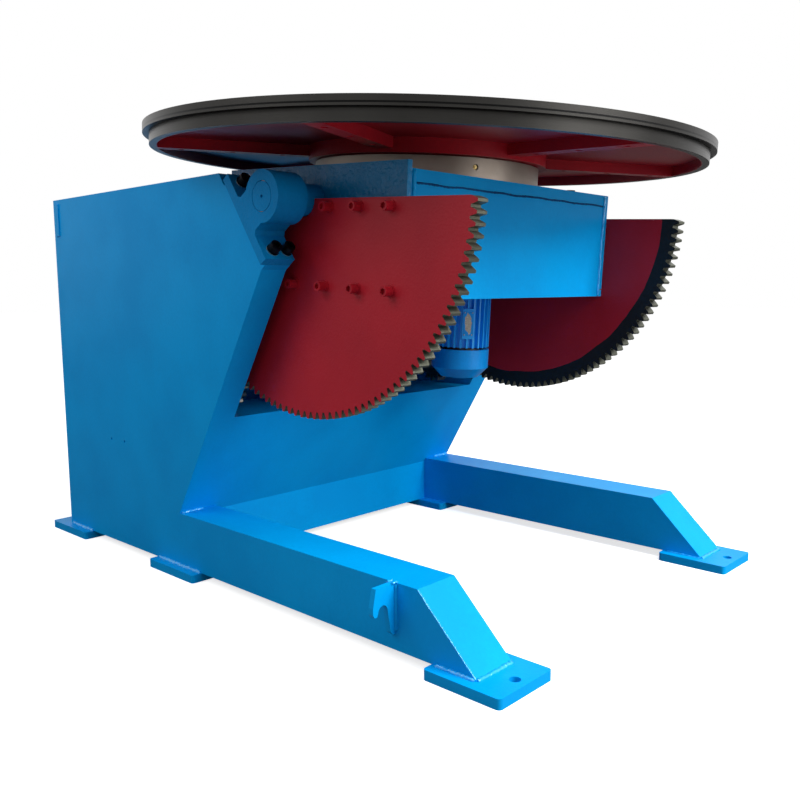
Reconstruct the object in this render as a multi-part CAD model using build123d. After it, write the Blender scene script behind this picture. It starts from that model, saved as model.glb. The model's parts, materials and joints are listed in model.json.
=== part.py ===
"""Workpiece positioner: a turntable on a tilting head, carried between two box columns.

Millimetres, +Z up. X runs across the machine, and the operator stands on the -Y side, in front of
the legs. The origin is on the floor, at the middle of the rectangle of anchor bolts.
The head is drawn level about its tilt axis and then leaned forward to its resting tilt.
"""
import os
from math import acos, atan2, cos, degrees, hypot, pi, radians, sin, sqrt, tan

from build123d import *

# Anchoring and feet
ANCHOR_HALF_LENGTH = 948.0
ANCHOR_HOLE_R = 13.0
FOOT_THICKNESS = 24.0
FOOT_LIP = 31.0
FOOT_CORNER_R = 10.0
FRONT_FOOT_LENGTH = 206.0
MID_FOOT_LENGTH = 234.0
REAR_FOOT_LENGTH = 237.0
REAR_HOLE_SETBACK = 45.0
NOSE_HOLE_SETBACK = 52.0

# Base weldment
HALF_WIDTH = 605.0
LEG_WIDTH = 126.0
LEG_TOP_Z = 182.0
NOSE_RUN = 164.0
COLUMN_WIDTH = 78.0
COLUMN_DEPTH_TOP = 377.0
SLANT_FOOT_Y = 205.0
MID_FOOT_REACH = 102.0
PLATE = 12.0
PANEL_PLATE = 10.0
SEAT_BLOCK = 30.0
PANEL_TOE_DROP = 13.0
LEDGE_DEPTH = 277.0
TOP_RAIL_THICKNESS = 22.0
TOP_RAIL_HEIGHT = 104.0
TOP_RAIL_DROP = 14.0
TOP_RAIL_SETBACK = 16.0
TOP_RAIL_PROUD = 4.0
BOTTOM_RAIL = 80.0
BOX_HOLE_R = 4.0
BOX_HOLE_PITCH = 81.0
BOX_HOLE_Y = 506.0
BOX_HOLE_Z = 359.0

# Cable hook, a flat plate on the outside of each leg
HOOK_Y = -660.0
HOOK_PLATE = 14.0
HOOK_HEIGHT = 119.0
HOOK_TOP_REACH = 62.0
HOOK_REACH = 71.0
HOOK_SLOT_R = 14.5
HOOK_SLOT_OUT = 40.5
HOOK_SLOT_DROP = 42.0
HOOK_TIP_DROP = 64.0
HOOK_TIP_CORNER = 4.0
HOOK_TOE = 16.0
RIGHT_HOOK_DROP = 20.0

# Tilt axis, resting tilt and the sloping seat of the pillow blocks
AXIS_Y = -242.0
AXIS_Z = 1054.0
REST_TILT = 3.4
SEAT_ANGLE = 56.15
SEAT_RISE = 170.0

# Pillow blocks
SPACER = 20.0
BLOCK_FLANGE = 25.0
BLOCK_CENTRE_HEIGHT = 101.0
BLOCK_HALF_LENGTH = 130.0
BLOCK_PROUD = 15.0
BLOCK_WIDTH = 92.0
PEDESTAL_HALF = 50.0
PEDESTAL_FILLET = 9.0
HOUSING_R = 64.0
HOUSING_LIP = 4.0
LIP_GAP = 1.5
BUSH_WALL = 6.0
JOURNAL_R = 36.0
RUNNING_CLEARANCE = 0.06
PILLOW_BOLT_REACH = 104.0
PILLOW_BOLT_HALF_PITCH = 21.0

# Trunnions
COLLAR_R = 40.0
COLLAR_GAP = 2.0
DOUBLER_HALF_LENGTH = 90.0
DOUBLER = 25.0
DOUBLER_HEIGHT = 150.0
CENTRE_HOLE_R = 4.0
CENTRE_HOLE_DEPTH = 14.0

# Tilting box
SECTOR_SIDE_GAP = 40.0
BOX_SIDE_PLATE = 15.0
BOX_TOP_PLATE = 32.0
BOX_PLATE = 12.0
BOX_TOP_OVER_AXIS = 71.0
BOX_BOTTOM_UNDER_AXIS = 233.0
BOX_FRONT_LIP = 21.0
BOX_REAR_LIP = 9.0
LEFT_PLATE_RISE = 18.0
BOX_CENTRE_HOLE_R = 60.0

# Toothed sectors
GEAR_MODULE = 8.0
SECTOR_FULL_TEETH = 138
SECTOR_TEETH = 53
SECTOR_TOP_TOOTH = 89.3
SECTOR_THICKNESS = 35.0
SECTOR_TOP_EDGE = 3.0
SECTOR_TOP_FRONT = 8.0
SECTOR_HEEL_R = 130.0
SECTOR_NOTCH_GAP = 2.0
UPPER_BOLT_DROP = 18.0
UPPER_BOLT_START = 98.0
UPPER_BOLT_PITCH = 105.0
UPPER_BOLTS = 3
LOWER_BOLT_DROP = 212.0
LOWER_BOLT_START = -28.0
LOWER_BOLT_PITCH = 114.7
LOWER_BOLTS = 4
SECTOR_SLEEVE = 8.0

# Tilt drive
PINION_TEETH = 17
PINION_ANGLE = 38.0
PINION_WIDTH = 42.0
BACKLASH = 0.3
CROSS_SHAFT_R = 28.0
SHAFT_BEARING_R = 45.0
SHAFT_BEARING_FLANGE_R = 62.0
SHAFT_BEARING_FLANGE = 14.0
SHAFT_BEARING_LENGTH = 52.0
HUB_FIT = 0.1
GEARBOX_X = -160.0
GEARBOX_SHAFT_HEIGHT = 90.0
GEARBOX_WIDTH = 130.0
GEARBOX_FOOT_WIDTH = 180.0
GEARBOX_FOOT = 16.0
GEARBOX_WHEEL_R = 84.0
WORM_RISE = 115.0
WORM_CASE_R = 50.0
WORM_CASE_FRONT = 62.0
WORM_CASE_REAR = 78.0
TILT_MOTOR_FLANGE_R = 80.0
TILT_MOTOR_R = 70.0
TILT_MOTOR_LENGTH = 170.0
TILT_COWL_LENGTH = 66.0

# Slewing ring
TABLE_BACK = 22.0
RING_R = 325.0
RING_WALL = 52.0
RING_HEIGHT = 56.0
RING_RUNNING_GAP = 1.0
RING_STEP = 3.0
INNER_RING_LIFT = 5.0
RACE_DEPTH = 9.0
RACE_ROLLER = 18.0
RACE_ROLLERS = 24
RING_MODULE = 6.0
RING_GEAR_WALL = 39.0
RING_BOLTS = 12
RING_BOLT_ANGLE = 15.0
NIPPLE_ANGLE = -115.3
NIPPLE_DROP = 24.0
NIPPLE_POCKET_R = 8.0
NIPPLE_POCKET = 7.0

# Rotation drive
DRIVE_TEETH = 17
DRIVE_ANGLE = -4.0
DRIVE_PINION_WIDTH = 42.0
DRIVE_PINION_LIFT = 8.0
DRIVE_SHAFT_R = 25.0
DRIVE_SPIGOT_R = 58.0
DRIVE_SPIGOT = 26.0
REDUCER_FLANGE = 14.0
REDUCER_STEP = 10.0
REDUCER_BOLT_GAP = 4.0
MOTOR_LIFT = 17.0
MOTOR_FLANGE = 12.0
MOTOR_R = 76.0
FIN_TIP_R = 89.0
FINS = 28
FIN_THICKNESS = 5.0
FIN_HANG = 166.0
COWL_TOP_UNDER_AXIS = 413.0
COWL_R = 90.0
COWL_LENGTH = 59.0
COWL_DISH = 31.0
COWL_FACE_R = 60.0
MOTOR_PAD_ANGLE = -128.0
MOTOR_PAD_WIDTH = 36.0
MOTOR_PAD_TOP = 284.0
MOTOR_PAD_HEIGHT = 93.0
TERMINAL_BOX_ANGLE = 45.0
TERMINAL_BOX_SIZE = 96.0
TERMINAL_BOX_REACH = 128.0

# Table
TABLE_R = 800.0
TABLE_PLATE = 23.0
RIM_STEP = 17.0
RIM_WALL = 20.0
RIM_DEPTH = 29.0
HUB_LIP = 20.0
HUB_BOLT_WALL = 52.0
HUB_HEIGHT = 38.0
RIBS = 6
RIB_WIDTH = 48.0
RIB_ANGLE = 23.0
TABLE_BORE_R = 40.0
TABLE_BOLT_INSET = 16.0
TABLE_BOLTS = 12
TAPPED_HOLE_R = 8.75
TAPPED_ROWS = 3
TAPPED_PITCH = 140.0
TAPPED_INSET = 83.0

# Cap screws, as thread radius, head radius, head height and key width
M20 = (10.0, 15.0, 20.0, 17.0)
M16 = (8.0, 12.0, 16.0, 14.0)
THREAD_FIT = 0.15
HOLE_CLEARANCE = 1.0
WASHER = 3.0
M20_WASHER_R = 17.0
M16_WASHER_R = 15.0
THREAD_ENGAGEMENT = 22.0
COUNTERBORE_CLEARANCE = 1.5

PRESSURE_ANGLE = 20.0
FLANK_STEPS = 3
WELD_GAP = 0.2

# Worked out from the sizes above
LEG_INNER_X = HALF_WIDTH - LEG_WIDTH
COLUMN_INNER_X = HALF_WIDTH - COLUMN_WIDTH
COLUMN_MID_X = HALF_WIDTH - COLUMN_WIDTH / 2
ANCHOR_HALF_WIDTH = HALF_WIDTH - LEG_WIDTH / 2
REAR_Y = ANCHOR_HALF_LENGTH - REAR_HOLE_SETBACK
NOSE_FOOT_Y = -ANCHOR_HALF_LENGTH + NOSE_HOLE_SETBACK
LEG_END_Y = NOSE_FOOT_Y + NOSE_RUN
SEAT_DOWN = (-cos(radians(SEAT_ANGLE)), -sin(radians(SEAT_ANGLE)))
SEAT_NORMAL = (-sin(radians(SEAT_ANGLE)), cos(radians(SEAT_ANGLE)))
AXIS_OVER_SEAT = SPACER + BLOCK_CENTRE_HEIGHT
BLOCK_OUTER_X = HALF_WIDTH + BLOCK_PROUD
BLOCK_INNER_X = BLOCK_OUTER_X - BLOCK_WIDTH
BUSH_R = JOURNAL_R + BUSH_WALL
SECTOR_PITCH_R = GEAR_MODULE * SECTOR_FULL_TEETH / 2
PINION_PITCH_R = GEAR_MODULE * PINION_TEETH / 2
PINION_DISTANCE = SECTOR_PITCH_R + PINION_PITCH_R
SHAFT_Y = AXIS_Y + PINION_DISTANCE * sin(radians(PINION_ANGLE))
SHAFT_Z = AXIS_Z - PINION_DISTANCE * cos(radians(PINION_ANGLE))
LEDGE_Z = SHAFT_Z - GEARBOX_SHAFT_HEIGHT
BOX_HALF_WIDTH = COLUMN_INNER_X - SECTOR_SIDE_GAP - SECTOR_THICKNESS
SECTOR_MID_X = BOX_HALF_WIDTH + SECTOR_THICKNESS / 2
BOX_FRONT = TABLE_BACK - RING_R - BOX_FRONT_LIP
BOX_REAR = TABLE_BACK + RING_R + BOX_REAR_LIP
BOX_INNER_X = BOX_HALF_WIDTH - BOX_SIDE_PLATE
TOP_PLATE_UNDER = BOX_TOP_OVER_AXIS - BOX_TOP_PLATE
HUB_Z = BOX_TOP_OVER_AXIS + RING_HEIGHT + RING_STEP
PLATE_Z = HUB_Z + HUB_HEIGHT
TABLE_TOP = PLATE_Z + TABLE_PLATE
RIM_R = TABLE_R - RIM_STEP
RIM_Z = PLATE_Z - RIM_DEPTH
TAPPED_CIRCLES = [RIM_R - TAPPED_INSET - TAPPED_PITCH * i for i in range(TAPPED_ROWS)]
RING_INNER_FACE_R = RING_R - RING_WALL
RING_BOLT_CIRCLE_R = RING_R - RING_WALL / 2
TABLE_BOLT_CIRCLE_R = RING_INNER_FACE_R - TABLE_BOLT_INSET
HUB_R = RING_R + HUB_LIP
HUB_INNER_R = TABLE_BOLT_CIRCLE_R - HUB_BOLT_WALL
RING_TEETH = round(2 * (RING_INNER_FACE_R - RING_GEAR_WALL) / RING_MODULE)
RING_PITCH_R = RING_MODULE * RING_TEETH / 2
DRIVE_PITCH_R = RING_MODULE * DRIVE_TEETH / 2
DRIVE_DISTANCE = RING_PITCH_R - DRIVE_PITCH_R
DRIVE_X = DRIVE_DISTANCE * cos(radians(DRIVE_ANGLE))
DRIVE_Y = TABLE_BACK + DRIVE_DISTANCE * sin(radians(DRIVE_ANGLE))
COUNTERBORE = M16[2] + HOLE_CLEARANCE
BOTTOM_PLATE_TOP = -BOX_BOTTOM_UNDER_AXIS + BOX_PLATE
MOTOR_TOP = BOTTOM_PLATE_TOP + MOTOR_LIFT
REDUCER_FLANGE_R = RING_BOLT_CIRCLE_R - DRIVE_DISTANCE - M16[1] - REDUCER_BOLT_GAP
REDUCER_R = REDUCER_FLANGE_R - REDUCER_STEP


def slab_x(points, low, high):
    """A plate with a side outline in (y, z), from one x to another."""
    face = make_face(Polyline(*points, close=True))
    return Pos(low, 0, 0) * extrude(Plane.YZ * face, amount=high - low)


def slab_y(points, low, high):
    """A plate with a front outline in (x, z), from one y to another."""
    face = make_face(Polyline(*points, close=True))
    return Pos(0, high, 0) * extrude(Plane.XZ * face, amount=high - low)


def slab_z(points, low, high):
    """A plate with a plan outline in (x, y), from one z to another."""
    face = make_face(Polyline(*points, close=True))
    return Pos(0, 0, low) * extrude(face, amount=high - low)


def block(x, y, z):
    """A block between two values on each axis."""
    size = [high - low for low, high in (x, y, z)]
    middle = [(high + low) / 2 for low, high in (x, y, z)]
    return Pos(*middle) * Box(*size)


def disc_x(radius, low, high, y=0.0, z=0.0):
    """A round bar along X."""
    return Pos((low + high) / 2, y, z) * Rot(0, 90, 0) * Cylinder(radius, high - low)


def disc_y(radius, low, high, x=0.0, z=0.0):
    """A round bar along Y."""
    return Pos(x, (low + high) / 2, z) * Rot(90, 0, 0) * Cylinder(radius, high - low)


def disc_z(radius, low, high, x=0.0, y=0.0):
    """A round bar along Z."""
    return Pos(x, y, (low + high) / 2) * Cylinder(radius, high - low)


def around(count, radius, start=0.0):
    """Points evenly spaced on a circle, in the plane of the table."""
    for i in range(count):
        angle = radians(start + 360.0 * i / count)
        yield radius * cos(angle), TABLE_BACK + radius * sin(angle)


def ring_bolt_spots():
    return around(RING_BOLTS, RING_BOLT_CIRCLE_R, RING_BOLT_ANGLE)


def seat_point(along, up):
    """(y, z) of a point on the sloping seat: down the slope from the axis, and out from the seat."""
    rise = up - AXIS_OVER_SEAT
    return (AXIS_Y + along * SEAT_DOWN[0] + rise * SEAT_NORMAL[0],
            AXIS_Z + along * SEAT_DOWN[1] + rise * SEAT_NORMAL[1])


def meet(p, q, r, s):
    """Where the line through p and q meets the line through r and s."""
    d, e = (q[0] - p[0], q[1] - p[1]), (s[0] - r[0], s[1] - r[1])
    t = ((r[0] - p[0]) * e[1] - (r[1] - p[1]) * e[0]) / (d[0] * e[1] - d[1] * e[0])
    return p[0] + t * d[0], p[1] + t * d[1]


def cap_screw(size, length):
    """A socket head cap screw that points down, with the underside of its head at z = 0."""
    thread, head, height, key = size
    screw = disc_z(head, 0, height) + disc_z(thread - THREAD_FIT, -length, 0)
    socket = extrude(RegularPolygon(key / sqrt(3), 6), amount=height / 2)
    return screw - Pos(0, 0, height / 2) * socket


def involute(angle):
    return tan(angle) - angle


def half_tooth(radius, pitch_radius, teeth, thinning):
    """Half the angle that an involute tooth covers at a radius, in radians."""
    base = pitch_radius * cos(radians(PRESSURE_ANGLE))
    pressure = acos(base / max(radius, base))
    at_pitch = pi / (2 * teeth) + involute(radians(PRESSURE_ANGLE)) - thinning / (2 * pitch_radius)
    return at_pitch - involute(pressure)


def tooth_line(module, teeth, low_r, high_r, thinning, centres):
    """Outline of a run of teeth about the origin, counterclockwise, as points in the plane."""
    pitch_radius = module * teeth / 2
    radii = [low_r + (high_r - low_r) * i / FLANK_STEPS for i in range(FLANK_STEPS + 1)]
    points = []
    for centre in centres:
        for sign, run in ((-1, radii), (1, radii[::-1])):
            for radius in run:
                angle = centre + sign * half_tooth(radius, pitch_radius, teeth, thinning)
                points.append((radius * cos(angle), radius * sin(angle)))
    return points


def gear_points(module, teeth, phase, thinning=BACKLASH):
    """Outline of a whole spur gear with its first tooth at an angle, in radians."""
    low_r, high_r = module * (teeth - 2.5) / 2, module * (teeth + 2) / 2
    centres = [phase + 2 * pi * i / teeth for i in range(teeth)]
    return tooth_line(module, teeth, low_r, high_r, thinning, centres)


def mirrored(shape):
    return mirror(shape, about=Plane.YZ)


def leaned(shape):
    """The head's pieces are drawn level about the tilt axis, then leaned forward."""
    return Pos(0, AXIS_Y, AXIS_Z) * Rot(REST_TILT, 0, 0) * shape


# Corners of the column, seen from the side
SEAT_TOP = seat_point(-SEAT_RISE, 0)
SEAT_TOE = seat_point(BLOCK_HALF_LENGTH, 0)
SLANT_FOOT = (SLANT_FOOT_Y, LEG_TOP_Z)
TOP_Z = SEAT_TOP[1]
UNDER_TOP = meet(seat_point(0, -SEAT_BLOCK), seat_point(1, -SEAT_BLOCK), SEAT_TOP, (REAR_Y, TOP_Z))
UNDER_TOE = meet(seat_point(0, -SEAT_BLOCK), seat_point(1, -SEAT_BLOCK), SEAT_TOE, SLANT_FOOT)
COLUMN_REAR_Y = SEAT_TOP[0] + COLUMN_DEPTH_TOP
SLANT_RUN = (SLANT_FOOT[0] - SEAT_TOE[0], SLANT_FOOT[1] - SEAT_TOE[1])
SLANT_ACROSS = hypot(*SLANT_RUN) / abs(SLANT_RUN[1])


def slant_y(z, inward=0.0):
    """y of the columns' slanting front at a height, or of a line inside it."""
    return SEAT_TOE[0] + SLANT_RUN[0] * (z - SEAT_TOE[1]) / SLANT_RUN[1] + inward * SLANT_ACROSS


def side_plate(with_box_holes):
    """The L-shaped outer plate of one side: column, slanting front, leg and nose."""
    outline = [(REAR_Y, FOOT_THICKNESS), (REAR_Y, TOP_Z), UNDER_TOP, UNDER_TOE, SLANT_FOOT,
               (LEG_END_Y, LEG_TOP_Z), (NOSE_FOOT_Y, FOOT_THICKNESS)]
    plate = slab_x(outline, HALF_WIDTH - PLATE, HALF_WIDTH)
    plate -= rail_slot()
    if with_box_holes:
        for i in range(2):
            y = BOX_HOLE_Y + BOX_HOLE_PITCH * i
            plate -= disc_x(BOX_HOLE_R, HALF_WIDTH - 2 * PLATE, HALF_WIDTH + PLATE, y, BOX_HOLE_Z)
    return plate


def rail_slot():
    """The slot in a side plate that takes the end of the top rail."""
    high = TOP_Z - TOP_RAIL_DROP
    y = REAR_Y - TOP_RAIL_SETBACK
    return block((HALF_WIDTH - 2 * PLATE, HALF_WIDTH + PLATE),
                 (y - TOP_RAIL_THICKNESS - WELD_GAP, y + WELD_GAP),
                 (high - TOP_RAIL_HEIGHT - WELD_GAP, high + WELD_GAP))


def rear_top_rail():
    """A flat bar across the back, with its ends in slots of the side plates."""
    high = TOP_Z - TOP_RAIL_DROP
    y = REAR_Y - TOP_RAIL_SETBACK
    reach = HALF_WIDTH + TOP_RAIL_PROUD
    return block((-reach, reach), (y - TOP_RAIL_THICKNESS, y), (high - TOP_RAIL_HEIGHT, high))


def column_channel():
    """Plate work that closes a column: front strip, inner wall, rear flange and cap."""
    low, high = (SLANT_FOOT[1], TOP_Z)
    outer = [(COLUMN_REAR_Y, low), (COLUMN_REAR_Y, high), UNDER_TOP, UNDER_TOE, SLANT_FOOT]
    wall = slab_x(outer, COLUMN_INNER_X, HALF_WIDTH - PLATE)
    under = (seat_point(0, -SEAT_BLOCK), seat_point(1, -SEAT_BLOCK))
    inside_low = (slant_y(low - PLATE, PLATE), low - PLATE)
    inside_high = (slant_y(AXIS_Z, PLATE), AXIS_Z)
    inner = [(COLUMN_REAR_Y - PLATE, low - PLATE), (COLUMN_REAR_Y - PLATE, high - PLATE),
             meet(*under, (0, high - PLATE), (1, high - PLATE)),
             meet(*under, inside_low, inside_high), inside_low]
    hollow = slab_x(inner, COLUMN_INNER_X + PLATE, HALF_WIDTH)
    channel = wall - hollow
    return channel - disc_x(SHAFT_BEARING_R + WELD_GAP, 0, COLUMN_INNER_X + 2 * PLATE, SHAFT_Y, SHAFT_Z)


def seat_block():
    """The thick sloping block on top of a column that the pillow block is bolted to."""
    shape = slab_x([SEAT_TOP, SEAT_TOE, UNDER_TOE, UNDER_TOP], COLUMN_INNER_X, HALF_WIDTH)
    return shape - pillow_holes(M20[0], AXIS_OVER_SEAT)


def on_seat(shape):
    """Moves a shape drawn about the axis, with its z out of the seat, onto the slope."""
    return Pos(0, AXIS_Y, AXIS_Z) * Rot(SEAT_ANGLE, 0, 0) * shape


def pillow_spots():
    """(x, y) of the four pillow bolts, in the seat's own directions."""
    for along in (-PILLOW_BOLT_REACH, PILLOW_BOLT_REACH):
        for across in (-PILLOW_BOLT_HALF_PITCH, PILLOW_BOLT_HALF_PITCH):
            yield COLUMN_MID_X + across, along


def pillow_holes(radius, depth):
    """The four pillow bolt holes, from the flange down past the seat."""
    holes = [disc_z(radius, -depth - SEAT_BLOCK * 2, 0, x, y) for x, y in pillow_spots()]
    return on_seat(Part() + holes)


def bearing_spacer():
    """The flat packing plate between the seat block and the pillow block."""
    plate = block((COLUMN_INNER_X, HALF_WIDTH), (-BLOCK_HALF_LENGTH, BLOCK_HALF_LENGTH),
                  (-AXIS_OVER_SEAT, SPACER - AXIS_OVER_SEAT))
    return on_seat(plate) - pillow_holes(M20[0] + HOLE_CLEARANCE, AXIS_OVER_SEAT)


def pillow_block():
    """One bearing housing: a round barrel on a narrower pedestal and a flange."""
    foot = SPACER - AXIS_OVER_SEAT
    deck = foot + BLOCK_FLANGE
    flange = block((BLOCK_INNER_X, BLOCK_OUTER_X), (-BLOCK_HALF_LENGTH, BLOCK_HALF_LENGTH), (foot, deck))
    edge, flare = PEDESTAL_HALF, PEDESTAL_HALF + PEDESTAL_FILLET
    pedestal = slab_x([(-flare, deck), (flare, deck), (edge, deck + PEDESTAL_FILLET), (edge, 0),
                       (-edge, 0), (-edge, deck + PEDESTAL_FILLET)], BLOCK_INNER_X, BLOCK_OUTER_X)
    barrel = disc_x(HOUSING_R, BLOCK_INNER_X, BLOCK_OUTER_X)
    bush_seat = disc_x(BUSH_R, BLOCK_INNER_X - PLATE, BLOCK_OUTER_X - HOUSING_LIP)
    lip = disc_x(JOURNAL_R + LIP_GAP, BLOCK_INNER_X, BLOCK_OUTER_X + PLATE)
    shape = on_seat(flange + pedestal + barrel - bush_seat - lip)
    return shape - pillow_holes(M20[0] + HOLE_CLEARANCE, AXIS_OVER_SEAT)


def trunnion_bush():
    """Bronze bush pressed into a pillow block."""
    low, high = BLOCK_INNER_X + HOLE_CLEARANCE, BLOCK_OUTER_X - HOUSING_LIP
    bush = disc_x(BUSH_R, low, high) - disc_x(JOURNAL_R + RUNNING_CLEARANCE, low - PLATE, high + PLATE)
    return Pos(0, AXIS_Y, AXIS_Z) * bush


def pillow_bolts():
    """Cap screws and narrow washers of one pillow block."""
    deck = SPACER + BLOCK_FLANGE - AXIS_OVER_SEAT
    washer = disc_z(M20_WASHER_R, 0, WASHER) - disc_z(M20[0] + THREAD_FIT, -WASHER, 2 * WASHER)
    length = WASHER + BLOCK_FLANGE + SPACER + THREAD_ENGAGEMENT
    screw = Pos(0, 0, WASHER) * cap_screw(M20, length)
    pieces = []
    for x, y in pillow_spots():
        pieces += [on_seat(Pos(x, y, deck) * piece) for piece in (washer, screw)]
    return pieces


def nose_y(z):
    """y of the sloping end of a leg at a height."""
    return NOSE_FOOT_Y + NOSE_RUN * (z - FOOT_THICKNESS) / (LEG_TOP_Z - FOOT_THICKNESS)


def leg_channel():
    """Bent plate that closes a leg: its top and its inner wall."""
    wall = slab_x([(REAR_Y, FOOT_THICKNESS), (REAR_Y, LEG_TOP_Z), (LEG_END_Y, LEG_TOP_Z),
                   (NOSE_FOOT_Y, FOOT_THICKNESS)], LEG_INNER_X, LEG_INNER_X + PLATE)
    under = LEG_TOP_Z - PLATE
    top = slab_x([(REAR_Y, under), (REAR_Y, LEG_TOP_Z), (LEG_END_Y, LEG_TOP_Z), (nose_y(under), under)],
                 LEG_INNER_X, HALF_WIDTH - PLATE)
    return wall + top


def leg_nose():
    """The sloping plate that ends a leg, under the end of its top."""
    across = PLATE * hypot(NOSE_RUN, LEG_TOP_Z - FOOT_THICKNESS) / (LEG_TOP_Z - FOOT_THICKNESS)
    under = LEG_TOP_Z - PLATE
    low, high = (NOSE_FOOT_Y, FOOT_THICKNESS), (nose_y(under), under)
    return slab_x([low, (low[0] + across, low[1]), (high[0] + across, high[1]), high],
                  LEG_INNER_X + PLATE, HALF_WIDTH - PLATE)


def foot(low, length, hole_y=None):
    """A foot plate under one leg, with an anchor hole where it has one."""
    plate = block((LEG_INNER_X - FOOT_LIP, HALF_WIDTH + FOOT_LIP), (low, low + length),
                  (0, FOOT_THICKNESS))
    plate = fillet(plate.edges().filter_by(Axis.Z), FOOT_CORNER_R)
    if hole_y is not None:
        plate -= disc_z(ANCHOR_HOLE_R, -PLATE, FOOT_THICKNESS + PLATE, ANCHOR_HALF_WIDTH, hole_y)
    return plate


def cable_hook(z):
    """Flat hook that opens downwards, welded to the outside of a leg with its top at a height."""
    x = HALF_WIDTH
    slot_x, slot_z = x + HOOK_SLOT_OUT, z - HOOK_SLOT_DROP - HOOK_SLOT_R
    outer, low = x + HOOK_REACH, z - HOOK_HEIGHT
    tip_z = z - HOOK_TIP_DROP
    outline = [(x, z), (x + HOOK_TOP_REACH, z), (outer, slot_z + HOOK_SLOT_R), (outer, slot_z),
               (outer - HOOK_TIP_CORNER, tip_z), (slot_x + HOOK_SLOT_R + HOOK_TIP_CORNER, tip_z),
               (slot_x + HOOK_SLOT_R, slot_z), (slot_x, slot_z), (slot_x - HOOK_SLOT_R, slot_z),
               (x + HOOK_TOE, low + HOOK_TOE / 2), (x + HOOK_TOE / 2, low), (x, low)]
    plate = slab_y(outline, HOOK_Y - HOOK_PLATE / 2, HOOK_Y + HOOK_PLATE / 2)
    return plate - disc_y(HOOK_SLOT_R, HOOK_Y - HOOK_PLATE, HOOK_Y + HOOK_PLATE, slot_x, slot_z)


def front_panel():
    """Bent plate between the columns: a slanting panel with a vertical toe down to the feet."""
    toe_z = LEG_TOP_Z - PANEL_TOE_DROP
    ledge = LEDGE_Z - PLATE
    upper = [(slant_y(ledge), ledge), (slant_y(LEG_TOP_Z), LEG_TOP_Z),
             (slant_y(LEG_TOP_Z, PANEL_PLATE), LEG_TOP_Z), (slant_y(ledge, PANEL_PLATE), ledge)]
    lower = [(slant_y(LEG_TOP_Z), LEG_TOP_Z), (slant_y(toe_z), toe_z),
             (slant_y(toe_z), FOOT_THICKNESS), (slant_y(toe_z) + PANEL_PLATE, FOOT_THICKNESS),
             (slant_y(toe_z) + PANEL_PLATE, toe_z), (slant_y(LEG_TOP_Z, PANEL_PLATE), LEG_TOP_Z)]
    return slab_x(upper, -COLUMN_INNER_X, COLUMN_INNER_X) + slab_x(lower, -LEG_INNER_X, LEG_INNER_X)


def ledge_plate():
    """Bent plate behind the panel: the ledge that carries the tilt gearbox, and its rear wall."""
    front = slant_y(LEDGE_Z)
    rear = front + LEDGE_DEPTH
    low = LEDGE_Z - PLATE
    top = slab_x([(front, LEDGE_Z), (slant_y(low), low), (rear, low), (rear, LEDGE_Z)],
                 -COLUMN_INNER_X, COLUMN_INNER_X)
    upper_wall = block((-COLUMN_INNER_X, COLUMN_INNER_X), (rear - PLATE, rear), (LEG_TOP_Z, low))
    lower_wall = block((-LEG_INNER_X, LEG_INNER_X), (rear - PLATE, rear), (FOOT_THICKNESS, LEG_TOP_Z))
    return top + upper_wall + lower_wall


def top_cover():
    """Flat cover over the back of the base, behind the columns."""
    reach = HALF_WIDTH - PLATE
    return block((-reach, reach), (COLUMN_REAR_Y, REAR_Y), (TOP_Z - PLATE, TOP_Z))


def rear_panel():
    """Bolted panel that closes the back."""
    reach = HALF_WIDTH - PLATE
    return block((-reach, reach), (REAR_Y - PANEL_PLATE, REAR_Y), (LEG_TOP_Z, TOP_Z - PLATE))


def rear_bottom_rail():
    """Box rail between the side walls, under the rear panel."""
    return block((-LEG_INNER_X, LEG_INNER_X), (REAR_Y - BOTTOM_RAIL, REAR_Y), (FOOT_THICKNESS, LEG_TOP_Z))


def shaft_bearing():
    """Flanged bearing of the cross shaft, through the inner wall of a column."""
    low = COLUMN_INNER_X - SHAFT_BEARING_FLANGE
    high = low + SHAFT_BEARING_LENGTH
    shape = disc_x(SHAFT_BEARING_FLANGE_R, low, COLUMN_INNER_X) + disc_x(SHAFT_BEARING_R, low, high)
    shape -= disc_x(CROSS_SHAFT_R + RUNNING_CLEARANCE, low - PLATE, high - PLATE)
    return Pos(0, SHAFT_Y, SHAFT_Z) * shape


def tilt_gearbox():
    """Worm gearbox on the ledge: wheel case, worm case above it and a foot plate."""
    half, foot_half = GEARBOX_WIDTH / 2, GEARBOX_FOOT_WIDTH / 2
    wheel = disc_x(GEARBOX_WHEEL_R, -half, half)
    base = block((-foot_half, foot_half), (-GEARBOX_WHEEL_R, GEARBOX_WHEEL_R),
                 (-GEARBOX_SHAFT_HEIGHT, GEARBOX_FOOT - GEARBOX_SHAFT_HEIGHT))
    skirt = block((-half, half), (-WORM_CASE_FRONT, WORM_CASE_FRONT),
                  (GEARBOX_FOOT - GEARBOX_SHAFT_HEIGHT, WORM_RISE))
    worm = disc_y(WORM_CASE_R, -WORM_CASE_FRONT, WORM_CASE_REAR, 0, WORM_RISE)
    flange = disc_y(TILT_MOTOR_FLANGE_R, WORM_CASE_REAR, WORM_CASE_REAR + PLATE, 0, WORM_RISE)
    shape = wheel + base + skirt + worm + flange
    shape -= disc_x(CROSS_SHAFT_R + RUNNING_CLEARANCE, -GEARBOX_FOOT_WIDTH, GEARBOX_FOOT_WIDTH)
    return Pos(GEARBOX_X, SHAFT_Y, SHAFT_Z) * shape


def fin_points(core, tip, count, thickness):
    """Outline of a finned motor body."""
    points = []
    for i in range(count):
        middle = 2 * pi * i / count
        for sign, radii in ((-1, (core, tip)), (1, (tip, core))):
            for radius in radii:
                angle = middle + sign * thickness / 2 / radius
                points.append((radius * cos(angle), radius * sin(angle)))
    return points


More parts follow.
